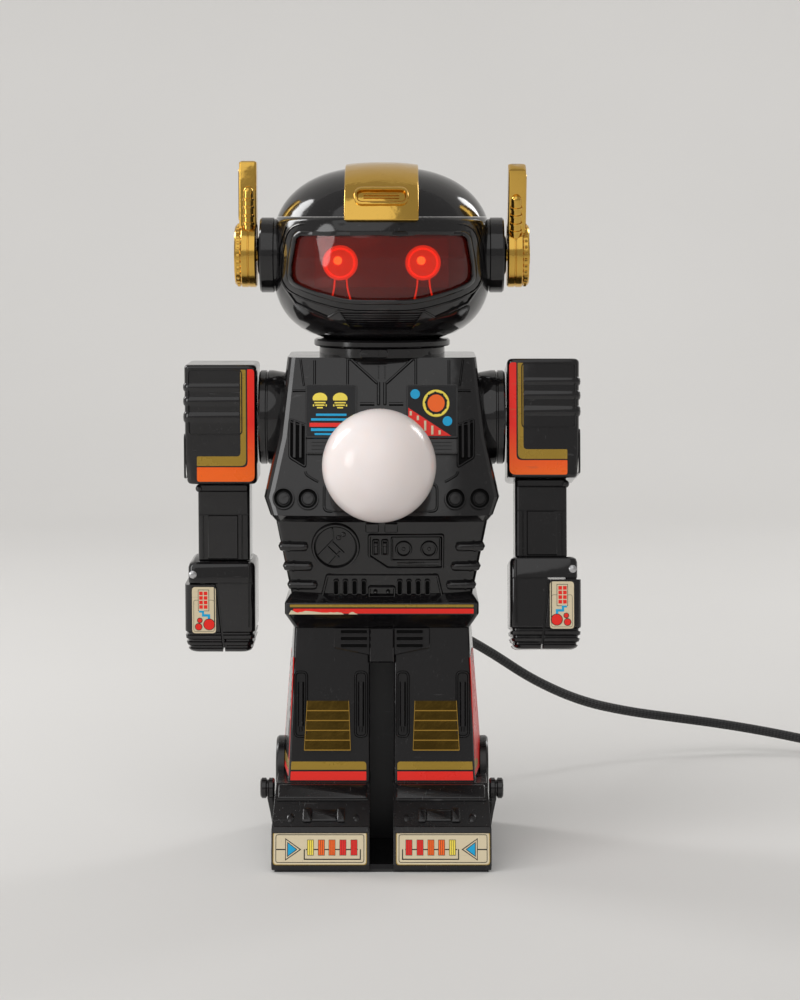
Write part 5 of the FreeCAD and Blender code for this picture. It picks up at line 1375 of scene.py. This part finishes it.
class MakeHands(MakerBase, bpy.types.Operator):
    """Make the palms, the opening claws with their labels, and the claw pins."""

    bl_idname = "robot_lamp.hands"
    bl_label = "Hands"

    def execute(self, context):
        ribs = [(111.2, 0.0), (92.2, 0.0), (91.5, 0.1), (90.9, 0.95), (90.2, 0.95), (89.8, 0.15), (88.5, 0.3),
                (88.0, 1.2), (87.3, 1.2), (86.9, 0.45), (85.7, 0.9), (85.2, 1.8), (84.5, 1.8), (84.1, 1.2),
                (83.2, 1.9), (82.6, 3.1)]
        for name, side in SIDES:
            move = swung(side, ARM_SWING if side > 0 else 0.0, SHOULDER)
            palm = Moulding(move)
            palm.loft([boxed(52.9 + curl, 80.7 - curl, 16.4 - curl, level, 3.0)
                       for level, curl in ((112.0, 0.0), (118.4, 0.0), (119.8, 0.5), (120.6, 1.6))])
            rings = []
            for level, curl in ribs:
                edge = np.interp(level, SPLIT_LEVELS, PALM_EDGE)
                sides = rectangle(52.9 + curl, edge, -16.4 + curl, 16.4 - curl)
                flat = rounded(sides, (3.4, 0.3, 0.3, 3.4), 5)
                rings.append(ring_at(flat, level + (0.75 if level > 111 else 0)))
            palm.loft(rings)
            lip = []
            for level in (84.6, 111.4):
                edge = np.interp(level, SPLIT_LEVELS, PALM_EDGE)
                lip.append(ring_at(rectangle(edge - 1, edge + 0.75, -15.2, 15.2), level))
            palm.loft(lip)
            palm.bead(HAND, [(55.4, 93.4), (55.4, 119.4)], 0.5, 0.35)
            palm.bead(HAND, [(53.6, 111.8), (67.6, 111.8)], 0.5, 0.35)
            palm.plastic_piece("palm_shell_" + name, "arm_" + name, ["palm_" + name], crease=28)

            claw = Moulding(move)
            rings = []
            for level, curl in ribs:
                edge = np.interp(level, SPLIT_LEVELS, CLAW_EDGE)
                sides = rectangle(edge, 82.2 - curl, -16.5 + curl, 16.5 - curl)
                rings.append(ring_at(rounded(sides, (0.3, 3.4, 3.4, 0.3), 5), level))
            claw.loft(rings)
            eye = [(1.6, -4.6), (2.3, -4.6), (2.3, 4.6), (1.6, 4.6)]
            claw.turned("y", CLAW_PIVOT, eye, 24, looped=True)
            claw.loft([boxed(76.4, 81.0, 4.6, level, 0.6) for level in (111.0, 114.2)])
            claw.bead(HAND, [(69.8, 93.4), (69.8, 110.6)], 0.4, 0.3)
            claw.plastic_piece("claw_shell_" + name, "grip_" + name, ["claw_" + name], crease=28)

            pin = Moulding(move)
            profile = [(0.2, -17.3), (0.9, -17.2), (1.6, -16.7), (1.6, -16.4), (1.5, -16.2), (1.5, 16.2),
                       (1.6, 16.4), (1.6, 16.7), (0.9, 17.2), (0.2, 17.3)]
            pin.turned("y", CLAW_PIVOT, profile, 28)
            pin.piece("claw_pivot_" + name, "arm_" + name, "steel", [finish_of("steel")],
                      ["claw_pin_" + name])

            film = Moulding(move)
            film.sticker(HAND, rounded(rectangle(68.9, 79.4, 90.6, 110.6), 1.5, 4), 0.10, BLACK)
            film.sticker(HAND, rounded(rectangle(69.2, 79.1, 90.9, 110.3), 1.4, 4), 0.14, CREAM)
            film.bead(HAND, rounded(rectangle(69.9, 78.4, 91.6, 104.8), 0.8, 3), 0.22, 0.18, True, 0.0, BLACK)
            film.sticker(HAND, rectangle(72.0, 76.6, 100.2, 109.2), 0.19, BLACK)
            film.sticker(HAND, rectangle(72.2, 76.4, 100.4, 109.0), 0.22, CREAM)
            for row in range(4):
                for column in range(2):
                    left, low = 72.7 + column * 1.9, 101.2 + row * 1.9
                    film.sticker(HAND, rectangle(left, left + 1.5, low, low + 1.5), 0.25, RED)
            steps = [(76.2, 99.6), (75.0, 99.6), (75.0, 97.9), (72.6, 97.9), (72.6, 95.6), (71.6, 95.6),
                     (71.6, 98.9), (74.1, 98.9), (74.1, 100.4), (76.2, 100.4)]
            film.sticker(HAND, steps, 0.21, BLUE)
            for across, level, radius in ((72.0, 94.6, 2.2), (75.9, 96.3, 0.9), (76.4, 93.6, 1.3)):
                film.sticker(HAND, circle(across, level, radius + 0.25, 28), 0.24, BLACK)
                film.sticker(HAND, circle(across, level, radius, 28), 0.27, RED)
            film.printed_piece("hand_label_" + name, "grip_" + name)
        return {"FINISHED"}


# bulb, cord, switch and plug
class MakeBulb(MakerBase, bpy.types.Operator):
    """Make the opal globe and the ring that it comes out of."""

    bl_idname = "robot_lamp.bulb"
    bl_label = "Opal globe"

    def execute(self, context):
        radius = context.scene.robot_lamp_sizes.bulb_diameter / MM / 2
        angle = np.linspace(0.012, math.radians(133), 48)
        profile = [(radius * math.sin(a), -58.0 - radius * math.cos(a)) for a in angle]
        profile += [(14.2, -40.2), (11.6, -37.2), (10.1, -34.6), (9.4, -32.6), (0.5, -32.5)]
        globe = Moulding()
        globe.turned("y", (-0.85, 0, 164.8), profile, 96)
        globe.piece("globe", "stand", "opal_glass", [finish_of("globe")], ["bulb_globe"], crease=50)
        ring = Moulding()
        profile = [(13.3, -28.4), (17.0, -28.4), (17.0, -36.8), (16.2, -37.7), (14.4, -37.7), (13.3, -36.9)]
        ring.turned("y", (0, 0, 165.0), profile, 64, looped=True)
        ring.plastic_piece("globe_ring", "stand", ["lamp_collar"])
        return {"FINISHED"}


LEAD = [(16.5, 55, 85), (18.5, 66, 84.5), (25, 80, 80.3), (35, 95, 73), (50, 113, 62), (70, 132, 46),
        (94, 157, 31.5), (118, 176, 23), (143, 187.5, 17.7), (167, 192, 13.7), (190, 190.5, 10),
        (213, 184, 6.2), (234, 173, 3.4), (251, 157, 2.3), (261, 140, 3.7), (264, 126, 7)]
THROUGH_SWITCH = [(264, 106, 7), (264, 86, 7)]
LINK = [(264, 66, 7), (264, 50, 3.5), (267, 33, 2.3), (279, 20, 2.3)]
TAIL = [(334.5, 58, 10.8), (338, 72, 7.2), (341, 88, 3.6), (341.5, 101, 4.2), (341.5, 112, 7)]


def coil_points(turns):
    """Turns round the middle of the coil: the radius and height of each turn ease into those of the next
    over its last third. The control points stand out a little, as the spline cuts inside them."""
    radii = np.array([28.6, 24.1, 19.7, 19.7, 24.1, 28.6, 19.7, 24.1, 28.7, 28.7])[-(turns + 2):]
    heights = np.array([2.3, 2.3, 2.3, 6.9, 6.9, 6.9, 11.2, 11.2, 11.2, 10.8])[-(turns + 2):]
    per_turn = 14
    sweep = np.arange(0, turns + 0.27, 1 / per_turn)
    whole = np.floor(sweep).astype(int)
    ease = np.clip((sweep - whole - 0.62) / 0.38, 0, 1)
    ease = ease * ease * (3 - 2 * ease)
    radius = radii[whole] * (1 - ease) + radii[whole + 1] * ease
    height = heights[whole] * (1 - ease) + heights[whole + 1] * ease
    angle = math.radians(-92) + sweep * 2 * math.pi
    radius = radius * 4 / (3 + math.cos(2 * math.pi / per_turn))
    return np.column_stack([COIL_MIDDLE[0] + radius * np.cos(angle), COIL_MIDDLE[1] + radius * np.sin(angle),
                            height])


class MakeCord(MakerBase, bpy.types.Operator):
    """Make the braided cord on one smooth spline, the switch, the plug, the coil tie and the gland."""

    bl_idname = "robot_lamp.cord"
    bl_label = "Cord, switch and plug"

    def execute(self, context):
        sizes = context.scene.robot_lamp_sizes
        route = np.concatenate([LEAD, THROUGH_SWITCH, LINK, coil_points(sizes.coil_turns), TAIL]) * MM
        curve = bpy.data.curves.new("mains_cord", "CURVE")
        curve.dimensions = "3D"
        curve.resolution_u = 8
        curve.bevel_depth = sizes.cord_diameter / 2
        curve.bevel_resolution = 5
        curve.use_fill_caps = True
        spline = curve.splines.new("NURBS")
        spline.points.add(len(route) - 1)
        spline.points.foreach_set("co", np.column_stack([route, np.ones(len(route))]).ravel())
        spline.order_u = 3
        spline.use_endpoint_u = True
        cord = put_in_scene("mains_cord", curve)
        joined_to_frame(cord, "stand", "woven_cord", [finish_of("sleeve")],
                        ["cord_lead", "cord_link", "cord_coil", "cord_tail"])

        satin = finish_of("satin")
        gland = Moulding()
        ribs = [(9.2, 28.3), (9.2, 30.6), (8.6, 31.2), (5.6, 31.4)]
        for step in range(8):
            start = 31.6 + step * 2.9
            radius = 5.0 - step * 0.24
            ribs += [(radius, start), (radius, start + 1.9)]
            ribs += [(radius - 0.75, start + 2.1), (radius - 0.75, start + 2.7)]
        profile = [(2.4, 22.0), (6.8, 22.0), (6.8, 28.3)] + ribs + [(3.1, 54.8), (2.4, 55.0)]
        gland.turned("y", GLAND_MIDDLE, profile, 40, looped=True)
        gland.piece("strain_relief", "stand", "satin_plastic", [satin], ["cable_gland"])

        body = Moulding()

        def plan(grow, level):
            """The outline of the switch at a height."""
            sides = rectangle(251.0 - grow, 277.0 + grow, 66.0 - grow, 126.0 + grow)
            return ring_at(rounded(sides, 6.0, 6), level)

        def hole(level, grow=0.0):
            """The window that the rocker tips in, at a height."""
            sides = rectangle(257.9 - grow, 270.1 + grow, 84.8 - grow, 107.2 + grow)
            return ring_at(rounded(sides, 0.8, 6), level)

        walls = [plan(grow, level) for grow, level in (
            (-1.0, 0.1), (0.0, 1.2), (0.0, 8.6), (-0.35, 8.7), (-0.35, 9.1), (0.0, 9.2), (0.0, 15.0),
            (-1.0, 17.3), (-2.4, 18.0))]
        body.loft([hole(1.5)] + walls + [hole(18.0, 0.5), hole(17.4)], looped=True)
        body.loft([hole(0.4, 0.4), hole(2.0, 0.4)])
        shell = body.piece("switch_shell", "stand", "satin_plastic", [satin], ["switch_body"], crease=30)
        lever = Moulding()
        shape = np.array([(-10.0, 14.2), (-10.0, 18.6), (-9.2, 19.3), (-5.0, 18.7), (0.0, 18.1), (5.0, 18.7),
                          (9.2, 19.3), (10.0, 18.6), (10.0, 14.2), (0.0, 11.0)])
        lever.loft([np.column_stack([np.full(10, across), SWITCH_MIDDLE[1] + shape[:, 0] * share,
                                     15.0 + (shape[:, 1] - 15.0) * share])
                    for across, share in ((258.5, 0.97), (258.9, 1.0), (269.1, 1.0), (269.5, 0.97))])
        top = on_plane((*SWITCH_MIDDLE, 18.35), (1, 0, 0), (0, 1, 0))
        for along in (-7.4, -6.2, -5.0):
            lever.bead(top, [(-3.4, along), (3.4, along)], 0.5, 0.75, low=-0.5)
        rocker = lever.piece("switch_lever", "rocker", "satin_plastic", [satin], ["switch_rocker"], crease=30)

        grip = Moulding()
        rings = []
        for along, half, low, high in (
                (112.2, 3.4, 3.2, 10.8), (116.0, 4.6, 2.2, 11.8), (122.0, 8.2, 0.9, 13.1),
                (129.0, 12.2, 0.1, 13.9), (134.0, 12.9, 0.1, 13.9), (143.6, 13.0, 0.1, 13.9),
                (145.4, 12.5, 0.6, 13.4), (145.9, 11.4, 1.6, 12.4)):
            sides = rectangle(PLUG_ACROSS - half, PLUG_ACROSS + half, low, high)
            flat = rounded(sides, min(half, (high - low) / 2) * 0.8, 6)
            rings.append(np.column_stack([flat[:, 0], np.full(len(flat), along), flat[:, 1]]))
        grip.loft(rings)
        top = on_plane((PLUG_ACROSS, 0, 13.75), (1, 0, 0), (0, 1, 0))
        for along in (126.5, 129.0, 131.5, 134.0, 136.5):
            grip.bead(top, [(-7.5, along), (7.5, along)], 1.0, 0.45, low=-0.6)
        plug = grip.piece("plug_grip", "stand", "satin_plastic", [satin], ["plug_body"], crease=34)

        tie = Moulding()
        angle = np.linspace(0, 2 * math.pi, 33)[:-1]
        wide = 7.6 * np.sign(np.cos(angle)) * np.abs(np.cos(angle)) ** 0.55
        high = 7.2 * np.sign(np.sin(angle)) * np.abs(np.sin(angle)) ** 0.55
        for turn in (35.0, 215.0):
            out = np.array([math.cos(math.radians(turn)), math.sin(math.radians(turn)), 0.0])
            along = np.array([-out[1], out[0], 0.0])
            centre = np.array([*COIL_MIDDLE, 7.3]) + out * 24.1
            ring = centre + wide[:, None] * out + high[:, None] * np.array([0, 0, 1.0])
            inner = centre + (wide * 0.93)[:, None] * out + (high * 0.93)[:, None] * np.array([0, 0, 1.0])
            half = along * 2.2
            tie.loft([ring - half, ring + half, inner + half, inner - half], looped=True)
        straps = tie.piece("coil_ties", "stand", "black_rubber", [finish_of("rubber")], crease=40)
        return {"FINISHED"}


class DressFrame(MakerBase, bpy.types.Operator):
    """Give every solid that stays on show its own finish."""

    bl_idname = "robot_lamp.dress_frame"
    bl_label = "Finishes of the plain parts"

    def execute(self, context):
        wanted = {
            "gold": ["antenna_pivots"],
            "dark_steel": ["sole_plate", "case_screws"],
            "steel": ["foot_ballast", "holder_bracket", "plug_pins", "bulb_cap",
                      "gland_nut", "shoulder_axle_left", "shoulder_axle_right"],
            "rubber": ["sole_pad"],
            "board": ["eye_board"],
            "satin": ["lamp_holder", "terminal_block", "neck_retainer"],
        }
        for name, nodes in wanted.items():
            for node in nodes:
                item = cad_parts[node]
                item.data.materials.clear()
                item.data.materials.append(finish_of(name))
        return {"FINISHED"}


class MakeStage(MakerBase, bpy.types.Operator):
    """Make the pale floor, the soft lights, the world and the camera."""

    bl_idname = "robot_lamp.stage"
    bl_label = "Floor, lights and camera"

    def execute(self, context):
        scene = context.scene
        across = np.linspace(-9.0, 9.0, 3)
        bend = np.linspace(0, math.pi / 2, 17)
        depth = np.concatenate([[-9.0, 0.0], 1.2 + 0.9 * np.sin(bend), [2.1]])
        height = np.concatenate([[0.0, 0.0], 0.9 - 0.9 * np.cos(bend), [6.0]])
        points = np.stack([np.broadcast_to(across, (20, 3)), np.repeat(depth[:, None], 3, 1),
                           np.repeat(height[:, None], 3, 1)], -1).reshape(-1, 3)
        index = np.arange(60).reshape(20, 3)
        floor = put_in_scene("studio_floor", smooth_mesh("studio_floor", points, grid_quads(index).tolist()))
        material, tree, shader = new_material("pale_floor")
        cloud = noise(tree, own_place(tree), 3.0, 2.0)
        pale = mix_colour(tree, cloud, (0.64, 0.63, 0.615), (0.68, 0.67, 0.655))
        fill(tree, shader.inputs["Base Color"], pale)
        shader.inputs["Roughness"].default_value = 0.75
        floor.data.materials.append(material)

        world = bpy.data.worlds.new("studio_air")
        scene.world = world
        world.use_nodes = True
        air = world.node_tree
        lit = air.nodes["Background"]
        fill(air, lit.inputs["Color"], (1.0, 0.98, 0.96, 1.0))
        fill(air, lit.inputs["Strength"], 0.36)
        seen = value_node(air, "ShaderNodeBackground", Color=(0.86, 0.85, 0.84, 1.0), Strength=1.0)
        rays = air.nodes.new("ShaderNodeLightPath").outputs
        either = calculate(air, "MAXIMUM", rays["Is Camera Ray"], rays["Is Transmission Ray"])
        mix = air.nodes.new("ShaderNodeMixShader")
        for socket, source in zip(mix.inputs, (either, lit.outputs[0], seen.outputs[0])):
            fill(air, socket, source)
        fill(air, air.nodes["World Output"].inputs["Surface"], mix.outputs[0])

        for name, spot, aim, wide, high, power in (
                ("key_light", (-1.15, -0.62, 0.48), (0, 0, 0.15), 0.5, 0.7, 3.2),
                ("edge_light", (-0.85, 0.45, 0.75), (0, 0, 0.18), 0.3, 0.6, 3.6),
                ("rim_light", (0.9, 0.9, 0.8), (0, 0, 0.2), 0.3, 0.6, 3.0)):
            lamp = bpy.data.lights.new(name, "AREA")
            lamp.shape, lamp.size, lamp.size_y, lamp.energy = "ELLIPSE", wide, high, power
            item = put_in_scene(name, lamp)
            item.location = spot
            item.rotation_euler = (Vector(aim) - Vector(spot)).to_track_quat("-Z", "Y").to_euler()
        for name, power, wide, glossy in (("soft_daylight", 1.1, 80, False), ("sheen_light", 0.55, 62, True)):
            sun = bpy.data.lights.new(name, "SUN")
            sun.energy, sun.angle = power, math.radians(wide)
            item = put_in_scene(name, sun)
            item.rotation_euler = (math.radians(48), 0, math.radians(-24))
            item.visible_glossy = glossy

        camera = put_in_scene("camera", bpy.data.cameras.new("camera"))
        camera.data.lens = 100.04
        camera.data.sensor_width = 36.0
        camera.location = (0.0075, -1.163, 0.266)
        camera.rotation_euler = (math.radians(90 - 5.94), 0, 0)
        scene.camera = camera
        scene.view_settings.view_transform = "Standard"
        return {"FINISHED"}


MAKERS = (MakeStage, MakeCord, MakeHead, MakeFace, MakeCrown, MakeEars, MakeNeck, MakeTorso, MakeChestRelief,
          MakeChestPrints, MakeBelt, MakeLegs, MakeFeet, MakeArms, MakeHands, MakeBulb, DressFrame)


class RobotLampPanel(bpy.types.Panel):
    """Sizes, colours and the makers of the lamp's pieces."""

    bl_idname = "VIEW3D_PT_robot_lamp"
    bl_label = "Robot Lamp"
    bl_space_type = "VIEW_3D"
    bl_region_type = "UI"
    bl_category = "Robot Lamp"

    def draw(self, context):
        for group in (context.scene.robot_lamp_sizes, context.scene.robot_lamp_colours):
            box = self.layout.box()
            for name in group.__annotations__:
                box.prop(group, name)
        for maker in MAKERS:
            self.layout.operator(maker.bl_idname)


CLASSES = (RobotLampSizes, RobotLampColours) + MAKERS + (RobotLampPanel,)


def register():
    """Adds the panel, its settings and the makers."""
    for item in CLASSES:
        bpy.utils.register_class(item)
    bpy.types.Scene.robot_lamp_sizes = PointerProperty(type=RobotLampSizes)
    bpy.types.Scene.robot_lamp_colours = PointerProperty(type=RobotLampColours)


def unregister():
    """Takes out what register put in."""
    del bpy.types.Scene.robot_lamp_colours
    del bpy.types.Scene.robot_lamp_sizes
    for item in reversed(CLASSES):
        bpy.utils.unregister_class(item)


def main():
    """Registers the add-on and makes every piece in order."""
    register()
    for maker in MAKERS:
        group, name = maker.bl_idname.split(".")
        getattr(getattr(bpy.ops, group), name)()


if __name__ == "__main__":
    main()
